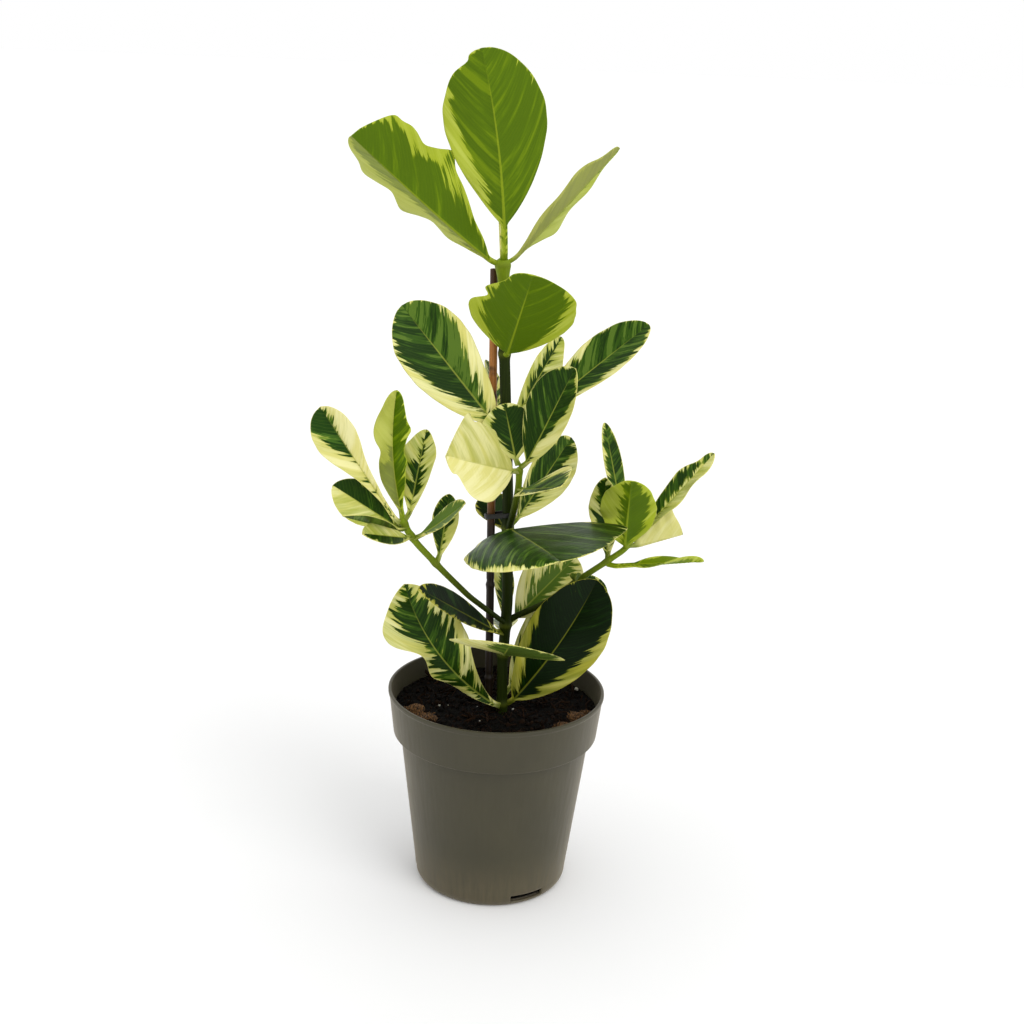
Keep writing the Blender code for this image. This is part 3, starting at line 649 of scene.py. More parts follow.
strap, tree, shader = new_finish("black_pvc_strap", "#0c0c0c", Roughness=0.38, IOR=1.53)
place = add(tree, "TexCoord", give="Object")
scuff = add(tree, "TexNoise", place, Scale=500.0, Detail=4.0)
worn = add(tree, "Mix.RGBA", scuff, linear("#070707"), linear("#1e1d1b"))
pebble = add(tree, "Bump", Strength=0.2, Distance=0.0002, Height=scuff)
fill(shader, Base_Color=worn, Normal=pebble)
make_piece("strap_tie", tie_rings.reshape(-1, 3), tie_faces, strap, ["tie"])

# ======================================================================== leaves
# Leathery variegated clusia blades 0.9 mm thick on short thick stalks. Green spreads from the
# midrib and breaks up along the side veins into cream; young leaves are yellow-green all over.
# Each half's tones carry painted shade set leaf by leaf, lightened instead as painted light where
# the value is below zero.

LEAF_STANDOFF = 1.8
BLADE = 0.9
STALK = 2.5
VEIN_SLANT = 0.8
VEIN_CURVE = 0.018
VEIN_GAP = 3.2
# Row places along a leaf crowd at both ends; column places crowd at the midrib and the margin.
LEAF_ROWS = 84
even = np.linspace(0, 1, LEAF_ROWS)
ROW_SHARES = 0.45 * even + 0.55 * (1 - np.cos(np.pi * even)) / 2
HALF_COLUMNS = np.array([
    0.03, 0.07, 0.12, 0.19, 0.27, 0.36, 0.45, 0.54, 0.63, 0.72, 0.81, 0.88, 0.94, 0.98, 1,
])


def along_veins(run, off):
    """Where the side vein through each point leaves the midrib; veins lean forward, more so outwards."""
    return run - VEIN_SLANT * np.abs(off) - VEIN_CURVE * off**2


def leaf_half_width(share, length, width, stalk, widest, full):
    """Half the blade's width at each share of the length: a sine hump after a narrow stalk."""
    along_blade = np.clip((share - stalk / length) / (1 - stalk / length), 0, 1)
    power = math.log(0.5) / math.log(widest)
    blade = width / 2 * np.clip(np.sin(np.pi * along_blade**power), 0, 1) ** full
    ends = (1.45 + 0.0065 * length) * np.sqrt(1 - along_blade) + 1.2 * along_blade**4 * np.sqrt(1 - share**8)
    return np.sqrt(blade**2 + ends**2)


def leaf_surface(length, width, seed, stalk=5, widest=0.6, full=0.55, bend=0, sweep=0, twist=0,
                 fold=8, curl=10, wave=0, waves=2.5, phase=(0, 0.5), edge=()):
    """Rings of points round the leaf from stalk to tip, with each point's place on the leaf.

    The midrib leaves the origin along +X with the upper side facing +Z. Over its length it turns
    down by bend, towards +Y by sweep, and round itself by twist. Each half rises from the midrib
    at its fold angle and curls further by its curl angle; wave ripples its margin. One number
    stands for equal ones on both halves. Each entry of edge swells or notches one margin: side,
    share of the length, change and spread.
    """
    share = ROW_SHARES
    pitch = np.radians(-bend * share)
    yaw = np.radians(sweep * share)
    roll = np.radians(twist * share)
    way = np.stack([np.cos(pitch) * np.cos(yaw), np.cos(pitch) * np.sin(yaw), np.sin(pitch)], -1)
    level = np.stack([-np.sin(yaw), np.cos(yaw), 0 * yaw], -1)
    upright = np.cross(way, level)
    left = level * np.cos(roll)[:, None] + upright * np.sin(roll)[:, None]
    normal = upright * np.cos(roll)[:, None] - level * np.sin(roll)[:, None]
    steps = (way[:-1] + way[1:]) / 2 * np.diff(share)[:, None] * length
    midrib = np.vstack([np.zeros(3), np.cumsum(steps, 0)])
    over = np.concatenate([HALF_COLUMNS[::-1], [0], -HALF_COLUMNS])
    places = np.concatenate([over, over[-2:0:-1]])
    under = np.concatenate([np.zeros(len(over)), np.ones(len(over) - 2)])
    side = np.where(places >= 0, 0, 1)
    sign = 1 - 2 * side
    out = np.abs(places)

    half = leaf_half_width(share, length, width, stalk, widest, full)
    halves = np.stack([half, half])
    for edge_side, at, change, spread in edge:
        halves[edge_side] *= 1 + change * np.exp(-(((share - at) / spread) ** 2))
    turns = 2 * np.pi * share + np.array([[seed], [seed + 2.1]])
    blade = np.clip((share - stalk / length) / (1 - stalk / length), 0, 1)
    halves *= 1 + blade * (0.012 * np.sin(3.3 * turns) + 0.008 * np.sin(8.1 * turns + seed))
    halves += 0.8 * np.exp(-share * length / 2.0)
    half = halves[side].T

    start = np.radians(np.broadcast_to(fold, 2))[side]
    turn = np.radians(np.broadcast_to(curl, 2))[side]
    turn = np.where(turn == 0, 1e-4, turn)
    lean = start + turn * out
    across = half / turn * (np.sin(lean) - np.sin(start))
    rise = half / turn * (np.cos(start) - np.cos(lean))
    shift = np.broadcast_to(phase, 2)[side]
    swell = np.sqrt(np.sin(np.pi * blade).clip(0))[:, None]
    ripple = np.sin(2 * np.pi * (waves * share[:, None] + shift)) * swell
    rise = rise + np.broadcast_to(wave, 2)[side] * ripple * out**2
    run = (share * length)[:, None] + 0 * half
    off = out * half
    buckle = cloud(np.stack([run, sign * off, 0 * run + 7 * seed], -1), 17.0, 3)
    rise = rise + 0.55 * buckle * np.clip(off / 8, 0, 1) * blade[:, None]

    # The blade is lens-shaped at its margin; the midrib stands out beneath and is sunk above.
    root = np.exp(-((share * length / (stalk + 5)) ** 2))[:, None]
    round_edge = np.sqrt(np.clip(1 - out ** (2 + 6 * (1 - root)), 0, 1))
    thick = (BLADE * (1 - root) + STALK * root) / 2 * round_edge
    thin_out = (1 - 0.75 * share)[:, None]
    ridge = 1.25 * (1 - 0.6 * root) * thin_out * np.exp(-((off / (2.0 * thin_out)) ** 2)) * round_edge
    groove = 0.4 * (1 - root) * thin_out * np.exp(-((off / 1.0) ** 2))
    vein = 0.07 * np.cos(2 * np.pi * along_veins(run, off) / VEIN_GAP) * (1 - root) * round_edge
    lift = np.where(under == 1, -thick - ridge, thick - groove) + vein
    across = across - np.sin(lean) * lift
    rise = rise + np.cos(lean) * lift
    rings = midrib[:, None] + (sign * across)[..., None] * left[:, None] + rise[..., None] * normal[:, None]
    return rings, run, sign * off, half, under + 0 * run


def leaf_finish(name, tones, under_tone, under_share, soft):
    """A variegated leaf skin. The tones run: deep, mid and light green, lime, cream, bright cream.

    Every pattern is laid out in millimetres along the side veins. The field place holds the
    distance along the midrib, the distance across it and a seed; paint holds the depth inside
    the green, an amount of painted shade (painted light below zero) and an amount of flecks; form
    holds the share of the length, whether the point is underneath and the distance to the margin.
    Soft is how gently the greens meet.
    """
    deep, mid, light, lime, cream, bright = (linear(tone) for tone in tones)
    made, tree, shader = new_finish(name, tones[1], IOR=1.45, Specular_IOR_Level=0.16)
    node = partial(add, tree)
    step = "MapRange.SMOOTHSTEP"
    times = "Math.MULTIPLY"
    times_plus = "Math.MULTIPLY_ADD"
    run, off, seed = node("SeparateXYZ", node("Attribute.place", give="Vector")).node.outputs
    depth, painted_shade, fleck = node("SeparateXYZ", node("Attribute.paint", give="Vector")).node.outputs
    share, under, margin = node("SeparateXYZ", node("Attribute.form", give="Vector")).node.outputs
    pale = node("Attribute.pale", give="Fac")
    out = node("Math.ABSOLUTE", off)
    lean = node(times, out, node(times_plus, out, VEIN_CURVE, VEIN_SLANT))
    veinwise = node("Math.SUBTRACT", run, lean)
    own_side = node(times_plus, node("Math.SIGN", off), 3.1, seed)

    def streaks(wide, long, shift, detail=3.0):
        """Noise drawn out along the side veins: its grain is this wide and this long, in millimetres."""
        x = node("Math.DIVIDE", veinwise, wide)
        y = node("Math.DIVIDE", out, long)
        z = node("Math.ADD", own_side, shift)
        return node("TexNoise", node("CombineXYZ", x, y, z), Scale=1.0, Detail=detail, Roughness=0.6)

    broad = streaks(9.0, 40.0, 0.0)
    fine = streaks(2.2, 18.0, 11.0)
    hair = streaks(0.7, 9.0, 23.0, 2.0)
    marble = streaks(4.5, 30.0, 37.0, 4.0)
    shades = streaks(8.0, 44.0, 51.0, 4.0)

    # Depth inside the green, frayed along the veins; flecks carry each colour into the other.
    frayed = node(times_plus, node("Math.SUBTRACT", broad, 0.5), 24.0, depth)
    fray = node(step, streaks(14.0, 24.0, 71.0), 0.42, 0.6, 4.0, 20.0)
    frayed = node(times_plus, node("Math.SUBTRACT", fine, 0.5), fray, frayed)
    frayed = node(times_plus, node("Math.SUBTRACT", hair, 0.5), 2.5, frayed)
    thrown = node(times, node("Math.SUBTRACT", marble, 0.5), 90.0)
    frayed = node(times_plus, thrown, fleck, frayed)

    shade = node(times_plus, node("Math.SUBTRACT", fine, 0.5), 0.35, shades)
    # The second paint value of each half adds painted shade here, turning the greens deeper; below zero it is
    # painted light.
    shade = node(times_plus, painted_shade, 0.16, shade)
    green = node("Mix.RGBA", node(step, shade, 0.43 - soft, 0.46 + soft), light, mid)
    green = node("Mix.RGBA", node(step, shade, 0.51 - soft, 0.55 + soft), green, deep)
    green = node("Mix.RGBA", node(times, node(step, frayed, 1.8, 0.2), 0.55), green, lime)
    vein_wave = node("Math.ADD", node("Math.DIVIDE", veinwise, VEIN_GAP), node(times, broad, 0.6))
    vein = node(step, node("Math.COSINE", node(times, vein_wave, 2 * math.pi)), 0.8, 1.0)
    green = node("Mix.RGBA", node(times, vein, 0.16), green, light)
    green = node("Mix.RGBA", node(step, hair, 0.55, 0.75, 0.0, 0.22), green, light)

    pallor = node("Mix.RGBA", node(step, shades, 0.4, 0.62), cream, bright)
    pallor = node("Mix.RGBA", node(step, frayed, -6.0, -0.3, 0.0, 0.3), pallor, lime)
    dashes = node(times, node(step, fine, 0.58, 0.7), node(times, fleck, 0.6))
    pallor = node("Mix.RGBA", dashes, pallor, lime)
    # On cream, the same value paints an olive shade by mixing in lime: painted shade.
    olive = node(times, node(step, painted_shade, 0.0, 1.0), node(step, broad, 0.35, 0.6, 0.3, 1.0))
    pallor = node("Mix.RGBA", node(times, olive, 0.75), pallor, lime)
    skin = node("Mix.RGBA", node(step, frayed, -0.4, 0.4), pallor, green)

    rib_width = node(times_plus, share, -0.8, 1.2)
    rib_fade = node(step, share, 1.0, 0.6, 0.0, 0.55)
    rib = node(times, node(step, node("Math.DIVIDE", out, rib_width), 1.0, 0.45), rib_fade)
    skin = node("Mix.RGBA", rib, skin, node("Mix.RGBA", 0.2, lime, cream))
    rim = node(step, node(times_plus, hair, 0.8, margin), 0.95, 0.55, 0.0, 0.75)
    skin = node("Mix.RGBA", rim, skin, cream)
    skin = node("Mix.RGBA", node(times, under, under_share), skin, linear(under_tone))
    skin = node("Mix.RGBA", pale, skin, linear("#a9a765"))
    stalk_part = node(step, node("Math.ADD", run, node(times, fine, 3.0)), 9.0, 3.0, 0.0, 0.8)
    skin = node("Mix.RGBA", stalk_part, skin, node("Mix.RGBA", 0.4, mid, lime))

    gloss = node(times_plus, under, 0.14, node(step, fine, 0.3, 0.7, 0.36, 0.44))
    gloss = node(times_plus, pale, 0.15, gloss)
    pores = node("TexNoise", node("TexCoord", give="Object"), Scale=1500.0)
    relief = node(times_plus, vein, 0.5, node(times_plus, hair, 0.5, pores))
    bump = node("Bump", Strength=0.12, Distance=0.0005, Height=relief)
    fill(shader, Base_Color=skin, Roughness=gloss, Normal=bump)
    return made


leaf_skins = {
    "young": leaf_finish(
        "young_leaf_skin", ("#4a6700", "#587500", "#728a08", "#a2b01e", "#bac546", "#ccd562"),
        "#6f8610", 0.2, 0.05,
    ),
    "marbled": leaf_finish(
        "marbled_leaf_skin", ("#1c3902", "#35560c", "#5b7727", "#96a42c", "#e0da82", "#f2eeae"),
        "#7c8c38", 0.2, 0,
    ),
    # Low inner leaves: partly their own deeper green, partly painted shade, which also darkens their cream
    # and lime.
    "dark": leaf_finish(
        "deep_and_shaded_leaf_skin", ("#081c01", "#102a03", "#264410", "#77801a", "#b8b244", "#cfca6a"),
        "#4c6a24", 0.25, 0,
    ),
    "cream": leaf_finish(
        "cream_leaf_skin", ("#1f4206", "#40641c", "#708e32", "#aaae48", "#e4de90", "#f1ecb2"),
        "#cfca84", 0.2, 0.01,
    ),
}
leaf_numbers = itertools.count(1)


def leaf(name, shoot, distance, azimuth, rise, roll, length, width, left, right, skin="marbled",
         side=None, dark=0, fleck=0.1, pale=0, below=0, heart=None, **shape):
    """A leaf on a shoot: it points to azimuth, climbs by rise and is rolled about its midrib.

    It leaves the shoot on the side it points to, or on the side given by that azimuth. Left and
    right give how far the green reaches towards that margin, as shares of the half-width, at five
    even stations from stalk to tip along the side veins; heart is where it starts. Dark is painted
    shade on the tones of each half, painted light where it is below zero; pale shifts the tones of
    each half, and below moves the green's edge underneath, in millimetres. One number stands for
    equal ones.
    """
    seed = 1.7 * next(leaf_numbers)
    point, direction, radius = shoot_at(shoot, distance)
    turn = Euler([math.radians(angle) for angle in (roll, -rise, azimuth)]).to_matrix()
    way = np.array(turn.col[0])
    if side is not None:
        way = np.array([math.cos(math.radians(side)), math.sin(math.radians(side)), 0])
    outward = way - direction * (way @ direction)
    outward /= np.linalg.norm(outward)
    rings, run, off, half, under = leaf_surface(length, width, seed, **shape)
    rings = rings @ np.array(turn).T + point + outward * (radius + LEAF_STANDOFF)
    # The first millimetres of the stalk lean back into the shoot.
    rings -= outward * ((LEAF_STANDOFF + 1.2) * np.clip(1 - run / 7, 0, 1) ** 2)[..., None]

    stalk = shape.get("stalk", 5)
    station = np.clip((along_veins(run, off) - stalk) / (length - stalk), 0, 1)
    stations = np.linspace(0, 1, 5)
    on_left = off >= 0
    greens = [np.interp(station, stations, np.broadcast_to(part, 5)) for part in (left, right)]
    reach = np.where(on_left, *greens)
    depth = reach * half - np.abs(off) + below * under
    if heart is not None:
        start = np.where(on_left, *heart)
        depth = np.minimum(depth, np.abs(off) - start * half)
    depth = np.clip(depth, -9, 9)
    # The second paint value is each half's painted shade, painted light where it is below zero.
    fields = {
        "place": (run, off, seed + 0 * run),
        "paint": (depth, np.where(on_left, *np.broadcast_to(dark, 2)), fleck + 0 * run),
        "form": (run / length, under, half - np.abs(off)),
    }
    fields = {key: np.stack([with_ends(value) for value in values], -1) for key, values in fields.items()}
    fields["pale"] = with_ends(np.where(on_left, *np.broadcast_to(pale, 2)) + 0 * run)
    points, faces = lofted(rings)
    make_piece("blade_" + name, points, faces, leaf_skins[skin], ["leaf_" + name], fields)


leaf("top_centre", "main_stem", 356, 262, 80, 10, 149, 74, (1.3, 1.25, 0.93, 1.2, 1.3),
     (0.45, 0.7, 0.97, 1.02, 1.3), stalk=26, sweep=-13, fold=10, wave=(1, 2), widest=0.6, skin="young",
     dark=(0.3, 0.2), edge=((1, 0.955, -0.3, 0.025), (0, 0.6, 0.02, 0.1)))
leaf("top_left", "main_stem", 352, 190, 38, 80, 138, 70, (1.0, 0.72, 0.8, 0.95, 1.1),
     (0.2, 0.3, 0.3, 0.5, 0.7), stalk=8, bend=8, sweep=6, fold=(0, 55), curl=(5, 10), wave=(4, 6),
     waves=2.2, widest=0.64, full=0.5, skin="young", dark=(0.7, -0.5), fleck=0.25, pale=(0, 0.35),
     edge=((0, 0.93, 0.38, 0.05), (0, 0.84, 0.12, 0.05), (0, 0.7, -0.12, 0.06), (0, 0.56, 0.19, 0.05),
     (0, 0.22, -0.14, 0.1), (1, 0.76, 0.25, 0.05), (1, 0.63, -0.25, 0.05), (1, 0.5, 0.3, 0.05),
     (1, 0.37, -0.2, 0.05), (1, 0.24, 0.3, 0.05)))
leaf("top_right", "main_stem", 353, 20, 44, -38, 116, 48, (-0.2, 0, 0.1, 0.2, 0.6),
     (0.7, 0.8, 0.9, 0.95, 1.1), stalk=8, bend=-3, fold=(0, 4), curl=5, wave=(1.5, 1), skin="young",
     dark=(-0.5, -0.3), pale=(0.1, 0.6), edge=((0, 0.8, -0.55, 0.25), (0, 0.4, 0.65, 0.1),
     (1, 0.9, -0.3, 0.15)))
leaf("collar_front", "main_stem", 286, 284, 46, -18, 96, 76, (0.75, 0.82, 0.92, 1.15, 1.3),
     (0.7, 0.82, 0.9, 1.15, 1.3), fold=0, curl=8, widest=0.58, full=0.5, skin="young", dark=0.8,
     edge=((1, 0.64, -0.28, 0.07), (1, 0.86, -0.38, 0.14), (1, 0.3, 0.08, 0.15), (0, 0.85, 0.06, 0.1)))
leaf("collar_back", "main_stem", 288, 86, 20, 0, 72, 46, (0.7, 0.8, 0.9, 1, 1), (0.5, 0.8, 0.9, 0.9, 1),
     stalk=6, bend=10, fleck=0.3)
leaf("upper_left", "main_stem", 229, 175, 50, -70, 118, 58, (0.35, 0.6, 0.97, 1.25, 1.3),
     (0.25, 0.45, 0.88, 1.35, 1.5), side=222, stalk=8, fold=6, widest=0.6, full=0.5, dark=(0.2, -0.5),
     fleck=0.3, edge=((1, 0.4, -0.15, 0.25), (0, 0.8, 0.05, 0.1)))
leaf("upper_right", "main_stem", 227, 16, 38, 30, 130, 42, (0.3, 0.55, 1.05, 1.2, 1.2),
     (0.6, 0.75, 0.9, 0.98, 1.1), stalk=14, fold=10, widest=0.66, dark=(-0.1, 0.1))
leaf("upper_back_right", "main_stem", 232, 50, 47, 60, 82, 23, (0, 0.2, 0.6, 0.7, 0.3),
     (-0.2, 0, 0.1, 0, -0.2), fold=15, wave=(0, 3), dark=(0.8, 1.0), fleck=0.15)
leaf("upper_back_left", "main_stem", 232, 112, 45, 40, 58, 22, (0.2, 0.3, 0.4, 0.3, 0.2),
     (0.5, 0.6, 0.7, 0.5, 0.3), dark=(0.6, 0.2), fleck=0.2)
leaf("front_left", "front_shoot", 46, 222, 18, -84, 70, 62, -0.6, -0.5, stalk=4, fold=(30, 10), widest=0.64,
     full=0.42, skin="cream", dark=(0, 0.8), fleck=0.03, edge=((1, 1, 1.1, 0.11), (1, 0.62, -0.1, 0.1),
     (1, 0.28, -0.35, 0.15), (0, 0.9, -0.4, 0.07), (0, 0.5, 0.08, 0.15)))
leaf("front_small", "front_shoot", 50, 140, 72, -50, 46, 35, (0.45, 0.55, 0.6, 0.62, 0.4),
     (0.8, 0.88, 0.92, 0.92, 0.85), side=120, stalk=4, full=0.5, dark=0.7, fleck=0.03,
     edge=((0, 0.5, 0.25, 0.4), (1, 0.5, 0.15, 0.4)))
leaf("front_right", "front_shoot", 49, 332, 65, 70, 87, 46, (1.0, 1.15, 1.15, 1.05, 0.95),
     (-0.1, 0.2, 0.6, 0.9, 0.8), side=0, fold=10, curl=15, widest=0.57, dark=(0.4, 0.5), fleck=0.08)
leaf("front_low", "front_shoot", 32, 302, 18, 20, 54, 50, (0.6, 0.7, 0.75, 0.7, 0.5),
     (0.6, 0.7, 0.75, 0.7, 0.5), stalk=4, fleck=0.35)
leaf("mid_right_under", "main_stem", 155, 38, 49, 80, 81, 40, (0.8, 0.9, 0.9, 0.85, 0.75),
     (0.1, 0.3, 0.6, 0.6, 0.5), stalk=6, dark=(0, 0.5), fleck=0.35)
leaf("mid_back_left", "main_stem", 149, 115, 27, -20, 40, 28, (0.8, 0.9, 0.9, 0.9, 0.9),
     (0.8, 0.9, 0.9, 0.9, 0.9), stalk=4, skin="dark")
leaf("mid_front", "main_stem", 153, 287, 9, 0, 120, 120, (1.0, 1.0, 0.98, 0.95, 0.95),
     (0.95, 0.88, 0.78, 0.84, 0.9), bend=4, fold=5, curl=(6, -36), widest=0.47, full=0.45, dark=(0.4, 0.3),
     fleck=0.12, edge=((1, 0.2, -0.22, 0.15), (1, 0.5, -0.12, 0.2), (0, 0.55, 0.16, 0.2),
     (0, 0.2, 0.08, 0.1)))
leaf("left_shoot_low_back", "left_shoot", 77, 30, 82, 58, 50, 20, 1.1, (0.1, 0.1, 0.4, 1.0, 1.1), stalk=4,
     fold=10, dark=(0.6, 0.5), fleck=0.05)
leaf("left_shoot_low_front", "left_shoot", 104, 330, 36, 40, 54, 20, 1.1, (1.0, 1.1, 1.0, 1.1, 1.1),
     stalk=4, bend=-10, dark=(-1.6, -1.4), fleck=0.05)
leaf("left_shoot_tall", "left_shoot", 122, 186, 74, -74, 94, 33, (1.2, 1.1, 0.3, -0.2, -0.1),
     (1.2, 1.2, 1.1, 1.2, 1.1), sweep=-26, fold=(10, 50), wave=(4, 3), waves=2.5, skin="young",
     dark=(0.3, 0.4), fleck=0.15, pale=(0.45, 0), edge=((0, 0.5, -0.12, 0.4), (1, 0.5, -0.3, 0.4),
     (1, 0.72, 0.25, 0.05), (1, 0.45, 0.3, 0.05), (0, 0.55, -0.2, 0.05)))
leaf("left_shoot_cream", "left_shoot", 119, 190, 57, -76, 104, 38, (-0.6, -0.6, 0.1, 0.95, 0.95),
     (-0.6, -0.6, -0.3, 0.1, 0.3), side=175, stalk=18, fold=(0, 50), widest=0.72, full=0.45, skin="cream",
     dark=(0.5, 0), fleck=0.3, edge=((1, 0.45, -0.4, 0.25), (0, 0.35, -0.35, 0.25)))
leaf("left_shoot_right", "left_shoot", 121, 54, 74, 14, 66, 24, (0.3, 0.35, 0.3, 0.1, 0),
     (0.3, 0.35, 0.4, 0.2, 0), side=15, fold=10, dark=(0.9, 0.8), fleck=0.3, edge=((0, 0.55, 0.45, 0.25),
     (1, 0.8, 0.2, 0.15)))
leaf("left_shoot_olive", "left_shoot", 114, 186, 34, -70, 60, 32, (-0.4, -0.3, -0.3, -0.2, -0.3), 1.1,
     side=170, fold=12, widest=0.6, dark=(1.0, 0.7), fleck=0.05)
leaf("left_shoot_edge", "left_shoot", 115, 232, 22, 12, 66, 22, -0.4, -0.4, side=240, stalk=8, dark=0.2,
     below=26)
leaf("left_shoot_under", "left_shoot", 107, 236, 17, -40, 58, 20, 1.1, (-0.2, -0.3, -0.3, -0.2, -0.2),
     side=270, stalk=4, dark=(0.6, 0.9), fleck=0.08)
leaf("right_shoot_front", "right_shoot", 106, 268, 60, -5, 71, 42, (0.5, 0.72, 0.8, 0.85, 0.6),
     (0.1, 0.2, 0.3, 0.35, 0.2), stalk=2, fold=5, wave=(1, 2), widest=0.52, skin="young", dark=(0.9, 0.3),
     fleck=0.08)
leaf("right_shoot_left", "right_shoot", 88, 230, 82, -160, 66, 22, (0.6, 0.7, 0.5, 0.7, 0.6),
     (0.5, 0.4, 0.7, 0.5, 0.6), side=100, stalk=3, fold=10, dark=0.5, fleck=0.3, edge=((0, 0.6, 0.2, 0.3),
     (1, 0.6, 0.2, 0.3)))
leaf("right_shoot_thin", "right_shoot", 113, 128, 69, -10, 88, 16, (0.6, 0.75, 0.8, 0.8, 0.8), 1.1, stalk=6,
     fleck=0.05)
leaf("right_shoot_right", "right_shoot", 116, 5, 51, 40, 86, 24, (0.9, 0.95, 0.95, 0.9, 0.2),
     (-0.4, -0.2, -0.1, -0.2, -0.5), stalk=8, fold=15, wave=(0, 2), dark=(0.2, 0.8), fleck=0.06,
     heart=(0.12, 0), edge=((1, 0.65, -0.35, 0.25), (0, 0.88, -0.4, 0.12), (0, 0.5, -0.1, 0.2)))
leaf("right_shoot_cream", "right_shoot", 108, 20, 10, -85, 42, 48, -0.5, -0.5, stalk=2, fold=(70, 5),
     wave=(0, 2), waves=4, skin="cream", dark=(0, 0.3), fleck=0, pale=(0, 0.2), edge=((1, 0.38, 0.25, 0.06),
     (1, 0.58, -0.22, 0.06), (1, 0.8, 0.35, 0.07), (0, 0.6, 0.15, 0.08)))
leaf("right_shoot_low", "right_shoot", 86, 341, 12, 68, 74, 22, (1.1, 1, 0.9, 0.5, 0.1),
     (1.1, 1, 0.8, 0.4, 0), stalk=20, twist=-113, skin="young", dark=-0.8)
leaf("right_shoot_stub", "right_shoot", 58, 280, 50, 0, 12, 9, 1.1, 1.1, stalk=1, dark=-0.3)
leaf("low_left_thin", "main_stem", 68, 230, 33, -50, 110, 26, (0.85, 0.9, 0.92, 0.92, 0.92),
     (1.1, 1.1, 1.1, 1.1, 1.0), skin="dark", fleck=0.22)
leaf("low_right_marble", "main_stem", 76, 36, 35, 50, 74, 50, (0.2, 0.3, 0.35, 0.3, 0.2),
     (0.3, 0.35, 0.3, 0.35, 0.2), wave=1, dark=-1.3, fleck=0.45)
leaf("low_back_left", "main_stem", 74, 95, 42, 20, 56, 18, (0.6, 0.7, 0.7, 0.6, 0.5),
     (0.6, 0.8, 0.9, 0.8, 0.7), dark=0.4, fleck=0.3)
leaf("low_front_edge", "main_stem", 52, 272, 24, -9, 104, 86, (0.9, 0.93, 0.95, 0.95, 0.95),
     (0.3, 0.2, 0.3, 0.4, 0.6), bend=-4, fold=-2, curl=3, dark=(0.4, 0), fleck=0.2)
leaf("low_right_back", "main_stem", 48, 36, 25, 50, 102, 48, (0.7, 0.8, 0.9, 0.92, 0.9),
     (0.5, 0.7, 0.8, 0.9, 0.9), stalk=6, dark=(0.5, 0.4), fleck=0.15)
leaf("base_right", "main_stem", 8, 345, 52, 95, 130, 62, (0.3, 0.8, 1.05, 1.2, 1.2),
     (0.5, 0.7, 0.95, 1.2, 1.2), stalk=6, sweep=16, fold=(12, 8), curl=(12, 8), widest=0.6, full=0.5,
     skin="dark", dark=0.8, fleck=0.03)
leaf("base_left", "main_stem", 7, 198, 34, -90, 136, 56, (0.8, 0.6, 0.6, 0.5, 0.3),
     (0.5, 0.6, 0.7, 0.6, 0.3), side=250, sweep=-40, curl=8, wave=(6, 4), waves=2, phase=(0.2, 0.6),
     widest=0.68, full=0.6, dark=(0.5, 0.4), fleck=0.45, edge=((0, 0.58, -0.55, 0.1),
     (0, 0.33, -0.35, 0.18), (0, 0.8, 0.12, 0.1), (1, 0.5, 0.12, 0.1)))
leaf("back_top", "main_stem", 352, 97, 58, 5, 104, 42, (0.8, 0.9, 0.95, 1, 1), (0.6, 0.8, 0.9, 0.9, 1),
     stalk=34, bend=10, widest=0.7, dark=(-0.5, -0.4), fleck=0.15)
leaf("back_upper", "main_stem", 220, 84, -4, 0, 92, 48, (0.4, 0.6, 0.8, 0.9, 0.9),
     (0.8, 0.9, 0.9, 0.8, 0.7), stalk=8, bend=10, fleck=0.25)
leaf("back_mid", "main_stem", 146, 80, -13, 0, 104, 56, (0.8, 0.9, 0.9, 0.9, 0.9),
     (0.4, 0.5, 0.7, 0.8, 0.9), stalk=8, bend=10, dark=(0.2, 0.1), fleck=0.25)
leaf("back_low", "main_stem", 64, 94, -9, 0, 84, 30, 0.8, (0.5, 0.5, 0.6, 0.7, 0.8), stalk=8, bend=10,
     dark=0.3, fleck=0.2, edge=((0, 0.4, -0.45, 0.35),))
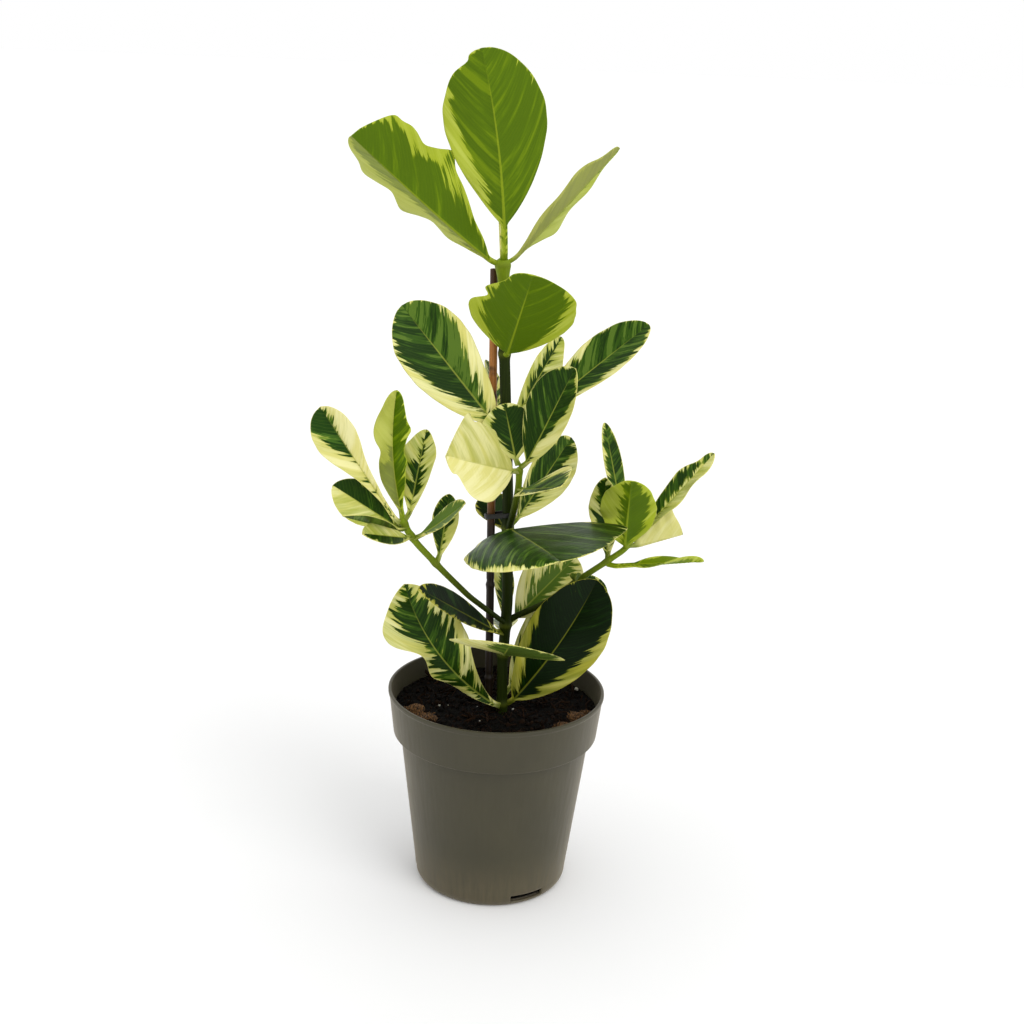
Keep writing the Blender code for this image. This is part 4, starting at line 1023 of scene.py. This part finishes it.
leaf("back_base", "main_stem", 14, 60, 24, 20, 88, 36, (0.8, 0.9, 0.9, 0.9, 0.9), (0.5, 0.6, 0.8, 0.9, 0.9),
     stalk=8, dark=0.5, fleck=0.2)

# ======================================================================== studio
# A pale seamless floor, a near-white room and one broad light high at the right, seen from a little
# above with a long lens.

floor_mesh = bpy.data.meshes.new("studio_floor")
floor_turn = np.linspace(0, 2 * np.pi, 96, endpoint=False)
floor_rim = np.stack([60 * np.cos(floor_turn), 60 * np.sin(floor_turn), 0 * floor_turn], -1)
floor_mesh.from_pydata(floor_rim.tolist(), [], [list(range(96))])
floor_finish, tree, shader = new_finish("matt_white_floor", "#f8f8f8", Roughness=0.95, IOR=1.3)
place = add(tree, "TexCoord", give="Object")
mottle = add(tree, "TexNoise", place, Scale=3.0, Detail=3.0)
floor_tone = add(tree, "Mix.RGBA", mottle, linear("#f7f7f7"), linear("#f9f9f9"))
fill(shader, Base_Color=floor_tone)
floor_mesh.materials.append(floor_finish)
studio_floor = bpy.data.objects.new("studio_floor", floor_mesh)
bpy.context.scene.collection.objects.link(studio_floor)

room = bpy.data.worlds.new("white_room")
room.use_nodes = True
room.node_tree.nodes["Background"].inputs["Color"].default_value = (1, 1, 1, 1)
room.node_tree.nodes["Background"].inputs["Strength"].default_value = 1.0
bpy.context.scene.world = room

sun = bpy.data.lights.new("high_soft_sun", "SUN")
sun.energy = 0.8
sun.angle = math.radians(35)
key = bpy.data.objects.new("high_soft_sun", sun)
key.rotation_euler = (math.radians(48), 0, math.radians(42))
bpy.context.scene.collection.objects.link(key)

lens = bpy.data.cameras.new("long_lens")
lens.sensor_width = 36
lens.lens = 53.09
camera = bpy.data.objects.new("camera", lens)
tilted = Euler((math.radians(90 - 16.95), 0, math.radians(-0.36))).to_matrix()
rolled = tilted @ Matrix.Rotation(math.radians(2.24), 3, "Z")
camera.location = (0, -1.100, 0.6411)
camera.rotation_euler = rolled.to_euler()
bpy.context.scene.collection.objects.link(camera)
bpy.context.scene.camera = camera
bpy.context.scene.view_settings.view_transform = "Standard"
bpy.context.scene.view_settings.gamma = 0.93
